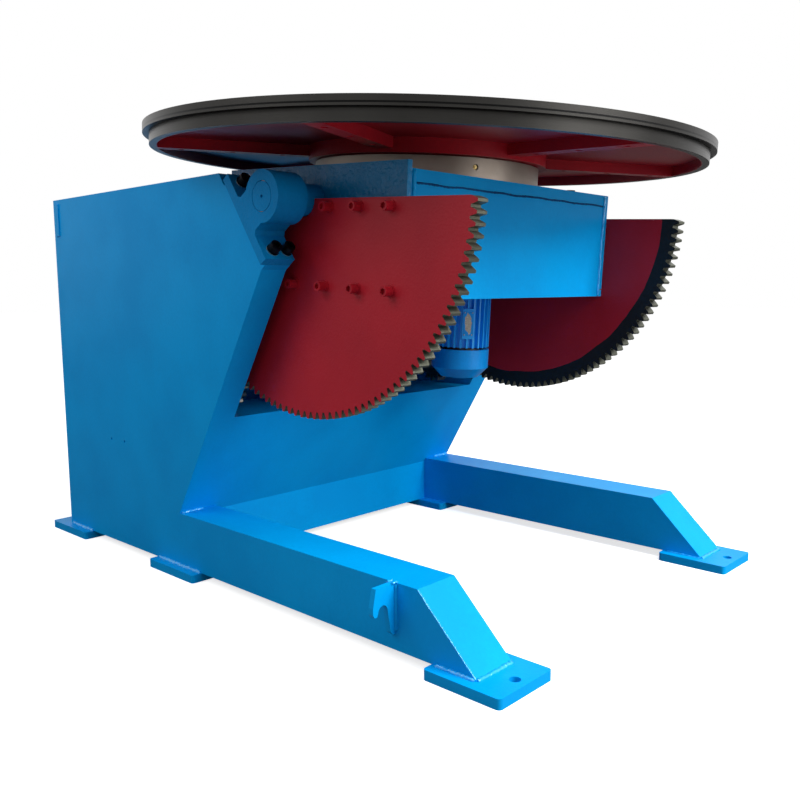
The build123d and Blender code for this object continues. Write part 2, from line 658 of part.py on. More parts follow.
def tilt_motor():
    """Finned motor and its fan cowl, behind the worm gearbox."""
    low = WORM_CASE_REAR + PLATE
    fins = slab_z(fin_points(TILT_MOTOR_R - FIN_THICKNESS * 2, TILT_MOTOR_R, FINS, FIN_THICKNESS),
                  PLATE, TILT_MOTOR_LENGTH)
    flange = disc_z(TILT_MOTOR_FLANGE_R, 0, PLATE)
    cowl = disc_z(TILT_MOTOR_R, TILT_MOTOR_LENGTH, TILT_MOTOR_LENGTH + TILT_COWL_LENGTH)
    shape = Rot(-90, 0, 0) * (fins + flange + cowl)
    return Pos(GEARBOX_X, SHAFT_Y + low, SHAFT_Z + WORM_RISE) * shape


def cross_shaft():
    """Shaft through the worm gearbox that carries both tilt pinions."""
    reach = COLUMN_INNER_X - SHAFT_BEARING_FLANGE + SHAFT_BEARING_LENGTH - PLATE - HOLE_CLEARANCE
    return Pos(0, SHAFT_Y, SHAFT_Z) * disc_x(CROSS_SHAFT_R, -reach, reach)


def tilt_pinion():
    """Spur pinion in mesh with a sector at the resting tilt."""
    toward_axis = atan2(AXIS_Z - SHAFT_Z, AXIS_Y - SHAFT_Y)
    pitch = 360.0 / SECTOR_FULL_TEETH
    offset = (SECTOR_TOP_TOOTH + PINION_ANGLE - REST_TILT) % pitch
    phase = toward_axis + radians(offset) * SECTOR_FULL_TEETH / PINION_TEETH + pi / PINION_TEETH
    points = gear_points(GEAR_MODULE, PINION_TEETH, phase)
    low, high = SECTOR_MID_X - PINION_WIDTH / 2, SECTOR_MID_X + PINION_WIDTH / 2
    gear = slab_x(points, low, high) - disc_x(CROSS_SHAFT_R + HUB_FIT, low - PLATE, high + PLATE)
    return Pos(0, SHAFT_Y, SHAFT_Z) * gear


def sector_spots():
    """(y, z) of the bolts that hold a sector to the box."""
    rows = ((UPPER_BOLTS, UPPER_BOLT_START, UPPER_BOLT_PITCH, UPPER_BOLT_DROP),
            (LOWER_BOLTS, LOWER_BOLT_START, LOWER_BOLT_PITCH, LOWER_BOLT_DROP))
    for count, start, pitch, drop in rows:
        for i in range(count):
            yield -start - pitch * i, -drop


def sector_gear():
    """Toothed sector, a thick flame-cut plate with involute teeth, bolted to the side of the box."""
    low_r = SECTOR_PITCH_R - 1.25 * GEAR_MODULE
    high_r = SECTOR_PITCH_R + GEAR_MODULE
    pitch = 2 * pi / SECTOR_FULL_TEETH
    first = radians(-90 - SECTOR_TOP_TOOTH)
    centres = [first + pitch * i for i in range(SECTOR_TEETH)]
    teeth = tooth_line(GEAR_MODULE, SECTOR_FULL_TEETH, low_r, high_r, BACKLASH, centres)
    last = centres[-1] + half_tooth(low_r, SECTOR_PITCH_R, SECTOR_FULL_TEETH, BACKLASH)
    heel = (SECTOR_HEEL_R * cos(last), SECTOR_HEEL_R * sin(last))
    outline = teeth + [heel, (heel[0], SECTOR_TOP_EDGE), (-low_r + SECTOR_TOP_FRONT, SECTOR_TOP_EDGE)]
    low, high = BOX_HALF_WIDTH, BOX_HALF_WIDTH + SECTOR_THICKNESS
    plate = slab_x(outline, low, high) - disc_x(COLLAR_R + SECTOR_NOTCH_GAP, low - PLATE, high + PLATE)
    return leaned(plate - sector_holes(M16[0] + HOLE_CLEARANCE))


def sector_holes(radius):
    return [disc_x(radius, 0, HALF_WIDTH, y, z) for y, z in sector_spots()]


def sector_bolts():
    """Cap screws with washers and sleeves that hold one sector."""
    face = BOX_HALF_WIDTH + SECTOR_THICKNESS
    length = SECTOR_THICKNESS + BOX_SIDE_PLATE + WASHER + SECTOR_SLEEVE
    bore = disc_z(M16[0] + THREAD_FIT, -length, length)
    washer = disc_z(M16_WASHER_R, 0, WASHER) + disc_z(M16[1], WASHER, WASHER + SECTOR_SLEEVE) - bore
    screw = Pos(0, 0, WASHER + SECTOR_SLEEVE) * cap_screw(M16, length)
    pieces = []
    for y, z in sector_spots():
        pieces += [leaned(Pos(face, y, z) * Rot(0, 90, 0) * piece) for piece in (washer, screw)]
    return pieces


def box_side(rise):
    """Side plate of the tilting box; the left one stands up past the top plate."""
    plate = slab_x([(BOX_FRONT, -BOX_BOTTOM_UNDER_AXIS), (BOX_REAR, -BOX_BOTTOM_UNDER_AXIS),
                    (BOX_REAR, BOX_TOP_OVER_AXIS + rise), (BOX_FRONT, BOX_TOP_OVER_AXIS + rise)],
                   BOX_INNER_X, BOX_HALF_WIDTH)
    plate -= disc_x(COLLAR_R + WELD_GAP, 0, HALF_WIDTH)
    return leaned(plate - sector_holes(M16[0]))


def box_end(low):
    """Front or rear plate of the tilting box, under its top plate."""
    return leaned(block((-BOX_INNER_X, BOX_INNER_X), (low, low + BOX_PLATE),
                        (-BOX_BOTTOM_UNDER_AXIS, TOP_PLATE_UNDER)))


def box_top():
    """Thick top plate that the slewing ring stands on."""
    plate = block((-BOX_INNER_X, BOX_INNER_X), (BOX_FRONT, BOX_REAR),
                  (TOP_PLATE_UNDER, BOX_TOP_OVER_AXIS))
    plate -= disc_z(BOX_CENTRE_HOLE_R, 0, TABLE_TOP, 0, TABLE_BACK)
    plate -= disc_z(DRIVE_SPIGOT_R + WELD_GAP, 0, TABLE_TOP, DRIVE_X, DRIVE_Y)
    radius = M16[0] + HOLE_CLEARANCE
    holes = [disc_z(radius, 0, TABLE_TOP, x, y) for x, y in ring_bolt_spots()]
    return leaned(plate - holes)


def box_bottom():
    """Bottom plate, with the round hole that the motor hangs through."""
    plate = block((-BOX_INNER_X, BOX_INNER_X), (BOX_FRONT + BOX_PLATE, BOX_REAR - BOX_PLATE),
                  (-BOX_BOTTOM_UNDER_AXIS, BOTTOM_PLATE_TOP))
    hole_r = FIN_TIP_R + COUNTERBORE_CLEARANCE * 4
    return leaned(plate - disc_z(hole_r, -TABLE_TOP * 2, 0, DRIVE_X, DRIVE_Y))


def trunnion():
    """Stub shaft of the box: a collar through the side plate, then the journal."""
    end = BLOCK_OUTER_X
    shape = disc_x(COLLAR_R, BOX_INNER_X, BLOCK_INNER_X - COLLAR_GAP)
    shape += disc_x(JOURNAL_R, BLOCK_INNER_X - COLLAR_GAP, end)
    return leaned(shape - disc_x(CENTRE_HOLE_R, end - CENTRE_HOLE_DEPTH, end + PLATE))


def trunnion_doubler():
    """Doubling plate inside the box, behind the root of a trunnion."""
    return leaned(block((BOX_INNER_X - DOUBLER, BOX_INNER_X), (-DOUBLER_HALF_LENGTH, DOUBLER_HALF_LENGTH),
                        (TOP_PLATE_UNDER - DOUBLER_HEIGHT, TOP_PLATE_UNDER)))


def race(radius, facing):
    """V groove of the slewing ring's rollers, cut outwards or inwards from a round face."""
    middle = BOX_TOP_OVER_AXIS + RING_HEIGHT / 2
    tip = radius + facing * RACE_DEPTH
    back = radius - facing * RACE_DEPTH
    section = Plane.XZ * make_face(Polyline((tip, middle), (back, middle - 2 * RACE_DEPTH),
                                            (back, middle + 2 * RACE_DEPTH), close=True))
    return revolve(section, Axis.Z)


def ring_at(shape):
    """Shapes of the ring and table are drawn about their own axis, then set back on the box."""
    return leaned(Pos(0, TABLE_BACK, 0) * shape)


def slewing_outer_ring():
    """Fixed ring, bolted to the box, with a grease pocket in its side."""
    low, high = BOX_TOP_OVER_AXIS, BOX_TOP_OVER_AXIS + RING_HEIGHT
    ring = disc_z(RING_R, low, high) - disc_z(RING_INNER_FACE_R, low - PLATE, high + PLATE)
    ring -= race(RING_INNER_FACE_R, 1)
    for i in range(RING_BOLTS):
        hole = disc_z(M16[0], 0, low + THREAD_ENGAGEMENT + HOLE_CLEARANCE)
        ring -= Rot(0, 0, RING_BOLT_ANGLE + 360.0 * i / RING_BOLTS) * Pos(RING_BOLT_CIRCLE_R, 0, 0) * hole
    return ring_at(ring - nipple_place() * disc_x(NIPPLE_POCKET_R, -NIPPLE_POCKET, NIPPLE_POCKET))


def nipple_place():
    return Rot(0, 0, NIPPLE_ANGLE) * Pos(RING_R, 0, BOX_TOP_OVER_AXIS + RING_HEIGHT - NIPPLE_DROP)


def grease_nipple():
    """Grease nipple at the bottom of its pocket."""
    half = NIPPLE_POCKET / 2
    shape = disc_x(NIPPLE_POCKET_R * 0.7, -NIPPLE_POCKET, -half) + disc_x(NIPPLE_POCKET_R * 0.4, -half, 0)
    return ring_at(nipple_place() * shape)


def slewing_rollers():
    """Crossed rollers between the two rings, alternately tilted."""
    middle = BOX_TOP_OVER_AXIS + RING_HEIGHT / 2
    centre_r = RING_INNER_FACE_R - RING_RUNNING_GAP / 2
    size = RACE_ROLLER / sqrt(2)
    rollers = []
    for i in range(RACE_ROLLERS):
        tilt = 45 if i % 2 else -45
        roller = Rot(0, tilt, 0) * Cylinder(size / 2, size - HOLE_CLEARANCE)
        rollers.append(ring_at(Rot(0, 0, 360.0 * i / RACE_ROLLERS) * Pos(centre_r, 0, middle) * roller))
    return rollers


def slewing_inner_ring():
    """Turning ring with the internal gear, bolted under the table."""
    low, high = BOX_TOP_OVER_AXIS + INNER_RING_LIFT, HUB_Z
    outer = RING_INNER_FACE_R - RING_RUNNING_GAP
    root_r, tip_r = RING_PITCH_R + 1.25 * RING_MODULE, RING_PITCH_R - RING_MODULE
    phase = [2 * pi * i / RING_TEETH for i in range(RING_TEETH)]
    space = tooth_line(RING_MODULE, RING_TEETH, tip_r, root_r, -BACKLASH, phase)
    ring = disc_z(outer, low, high) - slab_z(space, low - PLATE, high + PLATE) - race(outer, -1)
    hole = disc_z(M16[0], high - THREAD_ENGAGEMENT - HOLE_CLEARANCE, high + PLATE)
    for i in range(TABLE_BOLTS):
        ring -= Rot(0, 0, 360.0 * i / TABLE_BOLTS) * Pos(TABLE_BOLT_CIRCLE_R, 0, 0) * hole
    return ring_at(ring)


def rotation_pinion():
    """Output shaft of the rotation reducer with its pinion cut on it."""
    low = BOX_TOP_OVER_AXIS + DRIVE_PINION_LIFT
    line = radians(DRIVE_ANGLE)
    pitch = 2 * pi / RING_TEETH
    offset = line % pitch
    phase = line - offset * RING_TEETH / DRIVE_TEETH
    gear = slab_z(gear_points(RING_MODULE, DRIVE_TEETH, phase), low, low + DRIVE_PINION_WIDTH)
    shaft = disc_z(DRIVE_SHAFT_R, TOP_PLATE_UNDER - DRIVE_SPIGOT_R, low)
    return leaned(Pos(DRIVE_X, DRIVE_Y, 0) * (gear + shaft))


def rotation_reducer():
    """Reducer inside the box: top flange and spigot, round case and motor flange."""
    top = TOP_PLATE_UNDER
    shape = disc_z(DRIVE_SPIGOT_R, top, top + DRIVE_SPIGOT)
    shape += disc_z(REDUCER_FLANGE_R, top - REDUCER_FLANGE, top)
    shape += disc_z(REDUCER_R, MOTOR_TOP + MOTOR_FLANGE, top - REDUCER_FLANGE)
    shape += disc_z(REDUCER_FLANGE_R, MOTOR_TOP, MOTOR_TOP + MOTOR_FLANGE)
    depth = top - DRIVE_SPIGOT_R - HOLE_CLEARANCE
    shape -= disc_z(DRIVE_SHAFT_R + RUNNING_CLEARANCE, depth, TABLE_TOP)
    return leaned(Pos(DRIVE_X, DRIVE_Y, 0) * shape)


def rotation_motor():
    """Finned motor that hangs under the box, with a nameplate pad and a terminal box."""
    top = MOTOR_TOP - MOTOR_FLANGE
    cowl_z = -COWL_TOP_UNDER_AXIS
    fin_low = cowl_z + FIN_THICKNESS
    fin_high = fin_low + FIN_HANG
    shape = disc_z(REDUCER_FLANGE_R, top, MOTOR_TOP) + disc_z(MOTOR_R, cowl_z, top)
    shape += slab_z(fin_points(MOTOR_R - WELD_GAP, FIN_TIP_R, FINS, FIN_THICKNESS), fin_low, fin_high)
    pad = block((0, FIN_TIP_R + COUNTERBORE_CLEARANCE), (-MOTOR_PAD_WIDTH / 2, MOTOR_PAD_WIDTH / 2),
                (-MOTOR_PAD_TOP - MOTOR_PAD_HEIGHT, -MOTOR_PAD_TOP))
    shape += Rot(0, 0, MOTOR_PAD_ANGLE) * pad
    half = TERMINAL_BOX_SIZE / 2
    box_high = -MOTOR_PAD_TOP
    terminal = block((0, TERMINAL_BOX_REACH), (-half, half), (box_high - TERMINAL_BOX_SIZE, box_high))
    shape += Rot(0, 0, TERMINAL_BOX_ANGLE) * terminal
    return leaned(Pos(DRIVE_X, DRIVE_Y, 0) * shape)


def rotation_cowl():
    """Fan cowl under the motor, a short drum with a dished end."""
    high = -COWL_TOP_UNDER_AXIS
    low = high - COWL_LENGTH
    face = low - COWL_DISH
    profile = Plane.XZ * make_face(Polyline((0, high), (COWL_R, high), (COWL_R, low),
                                            (COWL_FACE_R, face), (0, face), close=True))
    return leaned(Pos(DRIVE_X, DRIVE_Y, 0) * revolve(profile, Axis.Z))


def slewing_bolts():
    """Cap screws from inside the box, up into the fixed ring."""
    screw = Rot(180, 0, 0) * cap_screw(M16, BOX_TOP_PLATE + THREAD_ENGAGEMENT)
    return [leaned(Pos(x, y, TOP_PLATE_UNDER) * screw) for x, y in ring_bolt_spots()]


def rib_angles():
    return [RIB_ANGLE + 360.0 * i / RIBS for i in range(RIBS)]


def tapped_holes():
    """Tapped holes over the ribs, right through the table plate and the ribs."""
    holes = []
    for angle in rib_angles():
        for radius in TAPPED_CIRCLES:
            hole = disc_z(TAPPED_HOLE_R, RIM_Z - PLATE, TABLE_TOP + PLATE)
            holes.append(Rot(0, 0, angle) * Pos(radius, 0, 0) * hole)
    return holes


def table_plate():
    """Round face plate, bored in the middle, with counterbored holes for its own bolts."""
    plate = disc_z(TABLE_R, PLATE_Z, TABLE_TOP) - disc_z(TABLE_BORE_R, 0, 2 * TABLE_TOP)
    seat = TABLE_TOP - COUNTERBORE
    bolt_hole = disc_z(M16[0] + HOLE_CLEARANCE, 0, 2 * TABLE_TOP)
    bolt_hole += disc_z(M16[1] + COUNTERBORE_CLEARANCE, seat, 2 * TABLE_TOP)
    for i in range(TABLE_BOLTS):
        plate -= Rot(0, 0, 360.0 * i / TABLE_BOLTS) * Pos(TABLE_BOLT_CIRCLE_R, 0, 0) * bolt_hole
    return ring_at(plate - tapped_holes())


def table_rim():
    """Stepped rim ring under the edge of the table."""
    ring = disc_z(RIM_R, RIM_Z, PLATE_Z) - disc_z(RIM_R - RIM_WALL, 0, 2 * TABLE_TOP)
    return ring_at(ring)


def table_ribs():
    """Radial ribs between the hub and the rim."""
    room = disc_z(RIM_R - RIM_WALL, RIM_Z, PLATE_Z) - disc_z(HUB_R, 0, TABLE_TOP)
    holes = tapped_holes()
    ribs = []
    for i, angle in enumerate(rib_angles()):
        bar = block((0, RIM_R), (-RIB_WIDTH / 2, RIB_WIDTH / 2), (RIM_Z, PLATE_Z))
        own = holes[i * len(TAPPED_CIRCLES):(i + 1) * len(TAPPED_CIRCLES)]
        ribs.append(ring_at((Rot(0, 0, angle) * bar & room) - own))
    return ribs


def table_hub():
    """Hub ring that carries the table on the turning ring."""
    ring = disc_z(HUB_R, HUB_Z, PLATE_Z) - disc_z(HUB_INNER_R, 0, TABLE_TOP)
    hole = disc_z(M16[0] + HOLE_CLEARANCE, 0, TABLE_TOP)
    for i in range(TABLE_BOLTS):
        ring -= Rot(0, 0, 360.0 * i / TABLE_BOLTS) * Pos(TABLE_BOLT_CIRCLE_R, 0, 0) * hole
    return ring_at(ring)


def table_bolts():
    """Cap screws from the table's face, through the hub into the turning ring."""
    seat = TABLE_TOP - COUNTERBORE
    screw = cap_screw(M16, seat - HUB_Z + THREAD_ENGAGEMENT)
    return [leaned(Pos(x, y, seat) * screw) for x, y in around(TABLE_BOLTS, TABLE_BOLT_CIRCLE_R)]


def as_list(shape):
    return shape if isinstance(shape, list) else [shape]


def write(name, shape):
    """One node: one solid, or a group of separate like solids."""
    solids = [solid for piece in as_list(shape) for solid in piece.solids()]
    node = solids[0] if len(solids) == 1 else Compound(children=solids)
    node.label = name
    export_step(node, os.path.join("parts", name + ".step"))


def write_pair(name, shape):
    """The right-hand node, and its mirror image on the left."""
    write("right_" + name, shape)
    write("left_" + name, [mirrored(piece) for piece in as_list(shape)])


def write_both_sides(name, shape):
    """Like pieces on both sides in one node."""
    write(name, as_list(shape) + [mirrored(piece) for piece in as_list(shape)])


os.makedirs("parts", exist_ok=True)

write("right_side_plate", side_plate(False))
write("left_side_plate", mirrored(side_plate(True)))
write_pair("column_channel", column_channel())
write_pair("seat_block", seat_block())
write_pair("leg_channel", leg_channel())
write_both_sides("leg_noses", leg_nose())
write("right_cable_hook", cable_hook(LEG_TOP_Z - RIGHT_HOOK_DROP))
write("left_cable_hook", mirrored(cable_hook(LEG_TOP_Z)))
FRONT_FOOT_Y = -ANCHOR_HALF_LENGTH - FOOT_LIP
REAR_FOOT_Y = ANCHOR_HALF_LENGTH + FOOT_LIP - REAR_FOOT_LENGTH
write_both_sides("front_feet", foot(FRONT_FOOT_Y, FRONT_FOOT_LENGTH, -ANCHOR_HALF_LENGTH))
write_both_sides("mid_feet", foot(SLANT_FOOT_Y - MID_FOOT_REACH, MID_FOOT_LENGTH))
write_both_sides("rear_feet", foot(REAR_FOOT_Y, REAR_FOOT_LENGTH, ANCHOR_HALF_LENGTH))
write("front_panel", front_panel())
write("ledge_plate", ledge_plate())
write("top_cover", top_cover())
write("rear_panel", rear_panel())
write("rear_top_rail", rear_top_rail())
write("rear_bottom_rail", rear_bottom_rail())
write_both_sides("bearing_spacers", bearing_spacer())
write_pair("pillow_block", pillow_block())
write_both_sides("trunnion_bushes", trunnion_bush())
write_both_sides("pillow_bolts", pillow_bolts())
write_both_sides("shaft_bearings", shaft_bearing())
write("tilt_gearbox", tilt_gearbox())
write("tilt_motor", tilt_motor())
write("tilt_cross_shaft", cross_shaft())
write_pair("tilt_pinion", tilt_pinion())
write("right_box_side", box_side(0))
write("left_box_side", mirrored(box_side(LEFT_PLATE_RISE)))
write("box_front_plate", box_end(BOX_FRONT))
write("box_rear_plate", box_end(BOX_REAR - BOX_PLATE))
write("box_top_plate", box_top())
write("box_bottom_plate", box_bottom())
write_pair("trunnion", trunnion())
write_both_sides("trunnion_doublers", trunnion_doubler())
write_pair("sector_gear", sector_gear())
write_both_sides("sector_bolts", sector_bolts())
write("slewing_outer_ring", slewing_outer_ring())
write("slewing_rollers", slewing_rollers())
write("grease_nipple", grease_nipple())
write("slewing_bolts", slewing_bolts())
write("rotation_reducer", rotation_reducer())
write("rotation_motor", rotation_motor())
write("rotation_motor_cowl", rotation_cowl())
write("rotation_pinion", rotation_pinion())
write("slewing_inner_ring", slewing_inner_ring())
write("table_hub", table_hub())
write("table_plate", table_plate())
write("table_rim", table_rim())
write("table_ribs", table_ribs())
write("table_bolts", table_bolts())
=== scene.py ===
# %% [markdown]
# A workpiece positioner: a heavy round table that turns on a slewing ring and tilts between two box
# columns, on two toothed sectors. The CAD model gives every plate, tooth and bolt its exact place.
# Here it gets paint, bare steel, weld beads, a nameplate, light and a camera. The CAD is loaded
# first, because each new piece is measured from it.

# %% Load the CAD frame
import json
from math import cos, pi, radians, sin

import bpy
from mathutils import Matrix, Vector


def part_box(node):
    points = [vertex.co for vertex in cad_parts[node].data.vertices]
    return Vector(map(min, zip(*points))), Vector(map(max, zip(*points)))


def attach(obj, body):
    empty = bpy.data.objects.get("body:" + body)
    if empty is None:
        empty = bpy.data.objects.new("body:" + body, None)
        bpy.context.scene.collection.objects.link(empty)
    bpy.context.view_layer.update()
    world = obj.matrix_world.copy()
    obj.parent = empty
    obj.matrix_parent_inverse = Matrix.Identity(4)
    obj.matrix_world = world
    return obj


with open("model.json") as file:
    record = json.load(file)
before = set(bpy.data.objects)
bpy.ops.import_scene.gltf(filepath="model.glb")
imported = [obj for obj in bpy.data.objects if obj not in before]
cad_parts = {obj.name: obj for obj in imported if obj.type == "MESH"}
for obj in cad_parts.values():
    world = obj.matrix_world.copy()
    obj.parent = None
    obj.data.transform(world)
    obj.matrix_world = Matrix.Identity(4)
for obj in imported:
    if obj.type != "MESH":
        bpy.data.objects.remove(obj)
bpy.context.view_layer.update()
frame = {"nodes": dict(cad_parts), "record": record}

# %% [markdown]
# The head of the machine was drawn level and then leaned forward about the tilt axis. A place on
# the head is easier to read in the level drawing, so one function leans a point in millimetres
# into place in metres. The table's axis stands 22 mm behind the tilt axis.

# %% Places on the machine
AXIS = Vector((0, -0.242, 1.054))
LEAN = radians(3.4)
TABLE_BACK_MM = 22
left_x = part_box("left_side_plate")[0].x
leg_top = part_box("left_leg_channel")[1].z
foot_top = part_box("front_feet")[1].z


def on_head(x, y, z):
    """A point of the level head, in millimetres from the tilt axis, as a leaned point in metres."""
    y, z = y / 1000, z / 1000
    return Vector((x / 1000, AXIS.y + y * cos(LEAN) - z * sin(LEAN),
                   AXIS.z + y * sin(LEAN) + z * cos(LEAN)))


print("Outer face of the left side:", round(left_x, 4), "Leg top:", round(leg_top, 4))

# %% [markdown]
# Materials are built from nodes. A colour is written as the hex value that a screen shows, and
# Blender works in linear light, so one function turns one into the other. A second function adds
# a node, sets its values and links its inputs, which keeps every material below short. A Mix node
# lists sockets for numbers, vectors and colours one after another, so its two colours are sockets
# 6 and 7 and the mixed colour is output 2.

# %% Colour and node helpers
def linear(hex_colour):
    """sRGB hex to linear red, green, blue and alpha."""
    parts = [int(hex_colour[i:i + 2], 16) / 255 for i in (1, 3, 5)]
    return tuple(p / 12.92 if p <= 0.04045 else ((p + 0.055) / 1.055) ** 2.4 for p in parts) + (1.0,)


def add(tree, kind, inputs=None, **settings):
    """Adds a node. A socket given as an input is linked, and anything else is its value."""
    made = tree.nodes.new("ShaderNode" + kind)
    for name, value in settings.items():
        setattr(made, name, value)
    for name, value in (inputs or {}).items():
        if isinstance(value, bpy.types.NodeSocket):
            tree.links.new(value, made.inputs[name])
        else:
            made.inputs[name].default_value = value
    return made


FIRST, SECOND, MIXED = 6, 7, 2


def new_material(name):
    """An empty material with a shader already joined to its output."""
    made = bpy.data.materials.new(name)
    made.use_nodes = True
    made.node_tree.nodes.clear()
    shader = add(made.node_tree, "BsdfPrincipled")
    output = add(made.node_tree, "OutputMaterial")
    made.node_tree.links.new(shader.outputs["BSDF"], output.inputs["Surface"])
    return made, made.node_tree, shader


def give(material, *names):
    """Gives CAD nodes a material."""
    for name in names:
        frame["nodes"][name].data.materials.clear()
        frame["nodes"][name].data.materials.append(material)


print("Mid grey in linear light:", round(linear("#808080")[0], 4))

# %% [markdown]
# Sprayed alkyd enamel on rolled plate. It dries with an orange peel, a skin of low rounded bumps
# about 1 to 2 mm apart, which breaks up its reflections. That is finer than a pixel here, so the
# peel is drawn 5 mm wide. Thick and thin passes of the gun leave cloudy patches a hand wide. On
# weld metal the paint follows wide ripples and runs glossy, so there the peel is wide and strong,
# and its glint takes a little of the blue.

# %% Enamel paint
PEEL_DEPTH = 0.3


def enamel(name, colour, patch, peel=0.15, gloss=0.36, peel_mm=5.0, shine=0.09, glint="#FFFFFF"):
    """Semi-gloss enamel with cloudy patches and orange peel."""
    made, tree, shader = new_material(name)
    place = add(tree, "TexCoord").outputs["Object"]
    clouds = add(tree, "TexNoise", {"Vector": place, "Scale": 4.0, "Detail": 3.0})
    specks = add(tree, "TexNoise", {"Vector": place, "Scale": 1000 / 9.0, "Detail": 2.0})
    cloud_part = add(tree, "MapRange", {"Value": clouds.outputs["Fac"], "From Min": 0.35, "From Max": 0.7})
    speck_part = add(tree, "MapRange", {"Value": specks.outputs["Fac"], "From Min": 0.3, "From Max": 0.75,
                                        "To Max": 0.35})
    both = add(tree, "Math", {0: cloud_part.outputs["Result"], 1: speck_part.outputs["Result"]},
               operation="ADD", use_clamp=True)
    body = add(tree, "Mix", {0: both.outputs[0], FIRST: linear(colour), SECOND: linear(patch)},
               data_type="RGBA").outputs[MIXED]
    tree.links.new(body, shader.inputs["Base Color"])
    rough = add(tree, "MapRange", {"Value": clouds.outputs["Fac"], "To Min": gloss - 0.06,
                                   "To Max": gloss + 0.12})
    tree.links.new(rough.outputs["Result"], shader.inputs["Roughness"])
    skin = add(tree, "TexNoise", {"Vector": place, "Scale": 1000 / peel_mm, "Detail": 1.5})
    bump = add(tree, "Bump", {"Height": skin.outputs["Fac"], "Strength": peel,
                              "Distance": PEEL_DEPTH * peel_mm / 1000})
    tree.links.new(bump.outputs["Normal"], shader.inputs["Normal"])
    shader.inputs["IOR"].default_value = 1.5
    shader.inputs["Specular IOR Level"].default_value = shine
    shader.inputs["Specular Tint"].default_value = linear(glint)
    return made


blue_enamel = enamel("blue_alkyd_enamel", "#00A6F0", "#009AE4")
# The box's near side plate: heavy orange peel, and a darker blue that is painted shade of the table.
peeled_blue_with_painted_shade = enamel("blue_enamel_heavy_peel_and_painted_shade", "#008CCB", "#007DB8", peel=1.0, gloss=0.26, peel_mm=8.0,
                       shine=0.35)
motor_blue = enamel("blue_enamel_on_castings", "#0098EA", "#0086D6", peel=0.2, gloss=0.26, shine=0.3)
weld_blue = enamel("blue_enamel_on_weld", "#2AB4FF", "#00A0EE", peel=1.0, gloss=0.12, peel_mm=14.0,
                   shine=1.0, glint="#D2F4FF")
# Pillow blocks and trunnions: a darker, greyer blue that is painted shade of the table overhead.
pillow_blue_with_painted_shade = enamel("blue_enamel_darkened_as_painted_shade", "#088CD2", "#067CBC", peel=0.5, gloss=0.4,
                      peel_mm=6.0, shine=0.06)
red_enamel = enamel("red_alkyd_enamel", "#C4202F", "#A81B2B", shine=0.2)

base_nodes = [n for n in frame["record"]["behaviour"]["bodies"]["base"]
              if n not in ("pillow_bolts", "trunnion_bushes", "shaft_bearings")]
coats = [
    (blue_enamel, base_nodes),
    (blue_enamel, ["box_front_plate", "box_rear_plate", "box_top_plate", "box_bottom_plate",
                   "right_box_side", "trunnion_doublers"]),
    (peeled_blue_with_painted_shade, ["left_box_side"]),
    (pillow_blue_with_painted_shade, ["left_pillow_block", "right_pillow_block", "left_trunnion", "right_trunnion"]),
    (motor_blue, ["rotation_reducer", "rotation_motor_cowl", "tilt_gearbox", "tilt_motor"]),
    (red_enamel, ["sector_bolts", "table_ribs", "table_hub"]),
]
for coat, names in coats:
    give(coat, *names)
print("Enamelled nodes:", len({name for coat, names in coats for name in names}))

# %% [markdown]
# Turned steel keeps the fine rings that the lathe tool left, about 0.3 mm apart. They are drawn 2
# to 2.5 mm apart, so that they show. They run round the table's axis, so the pattern reads how far
# a point is from that axis and how high it is. A Mapping node moves and turns the coordinates onto
# the axis.

# %% Turned steel
def round_axis(tree):
    """Distance from the table's axis, and height along it, in metres."""
    place = add(tree, "TexCoord").outputs["Object"]
    centre = on_head(0, TABLE_BACK_MM, 0)
    own = add(tree, "Mapping", {"Vector": place, "Location": centre, "Rotation": (LEAN, 0, 0)},
              vector_type="TEXTURE")
    parts = add(tree, "SeparateXYZ", {"Vector": own.outputs["Vector"]})
    flat = add(tree, "CombineXYZ", {"X": parts.outputs["X"], "Y": parts.outputs["Y"]})
    reach = add(tree, "VectorMath", {0: flat.outputs["Vector"]}, operation="LENGTH")
    return place, reach.outputs["Value"], parts.outputs["Z"]


def rings(tree, reach, height, spacing_mm):
    """Fine uneven rings of a lathe tool."""
    lines = add(tree, "CombineXYZ", {"X": reach, "Z": height})
    return add(tree, "TexNoise", {"Vector": lines.outputs["Vector"], "Scale": 1000 / spacing_mm,
                                  "Detail": 3.0, "Roughness": 0.7}).outputs["Fac"]


def turned_steel(name, colour, stain, roughness, spacing_mm=2.0):
    """Bare steel from the lathe, with an uneven film of old oil."""
    made, tree, shader = new_material(name)
    place, reach, height = round_axis(tree)
    marks = rings(tree, reach, height, spacing_mm)
    film = add(tree, "TexNoise", {"Vector": place, "Scale": 6.0, "Detail": 4.0}).outputs["Fac"]
    spread = add(tree, "MapRange", {"Value": film, "From Min": 0.35, "From Max": 0.7}).outputs["Result"]
    coat = add(tree, "Mix", {0: spread, FIRST: linear(colour), SECOND: linear(stain)}, data_type="RGBA")
    tree.links.new(coat.outputs[MIXED], shader.inputs["Base Color"])
    rough = add(tree, "MapRange", {"Value": marks, "To Min": roughness - 0.1, "To Max": roughness + 0.15})
    tree.links.new(rough.outputs["Result"], shader.inputs["Roughness"])
    bump = add(tree, "Bump", {"Height": marks, "Strength": 0.25, "Distance": 0.0006})
    tree.links.new(bump.outputs["Normal"], shader.inputs["Normal"])
    shader.inputs["Metallic"].default_value = 1.0
    return made


ring_steel = turned_steel("turned_bearing_steel", "#A59C92", "#8C8278", 0.36)
give(ring_steel, "slewing_outer_ring", "slewing_inner_ring", "slewing_rollers")
print("Turned about the leaned axis:", ring_steel.name)

# %% [markdown]
# The fins of the motor under the box end a little short of its fan cowl, and the gap lies in shade.
# That shade is painted as a dark band on the motor's body, right over the cowl.

# %% Painted shade in the gap over the fan cowl
COWL_R = 0.09
FIN_GAP = 0.0065


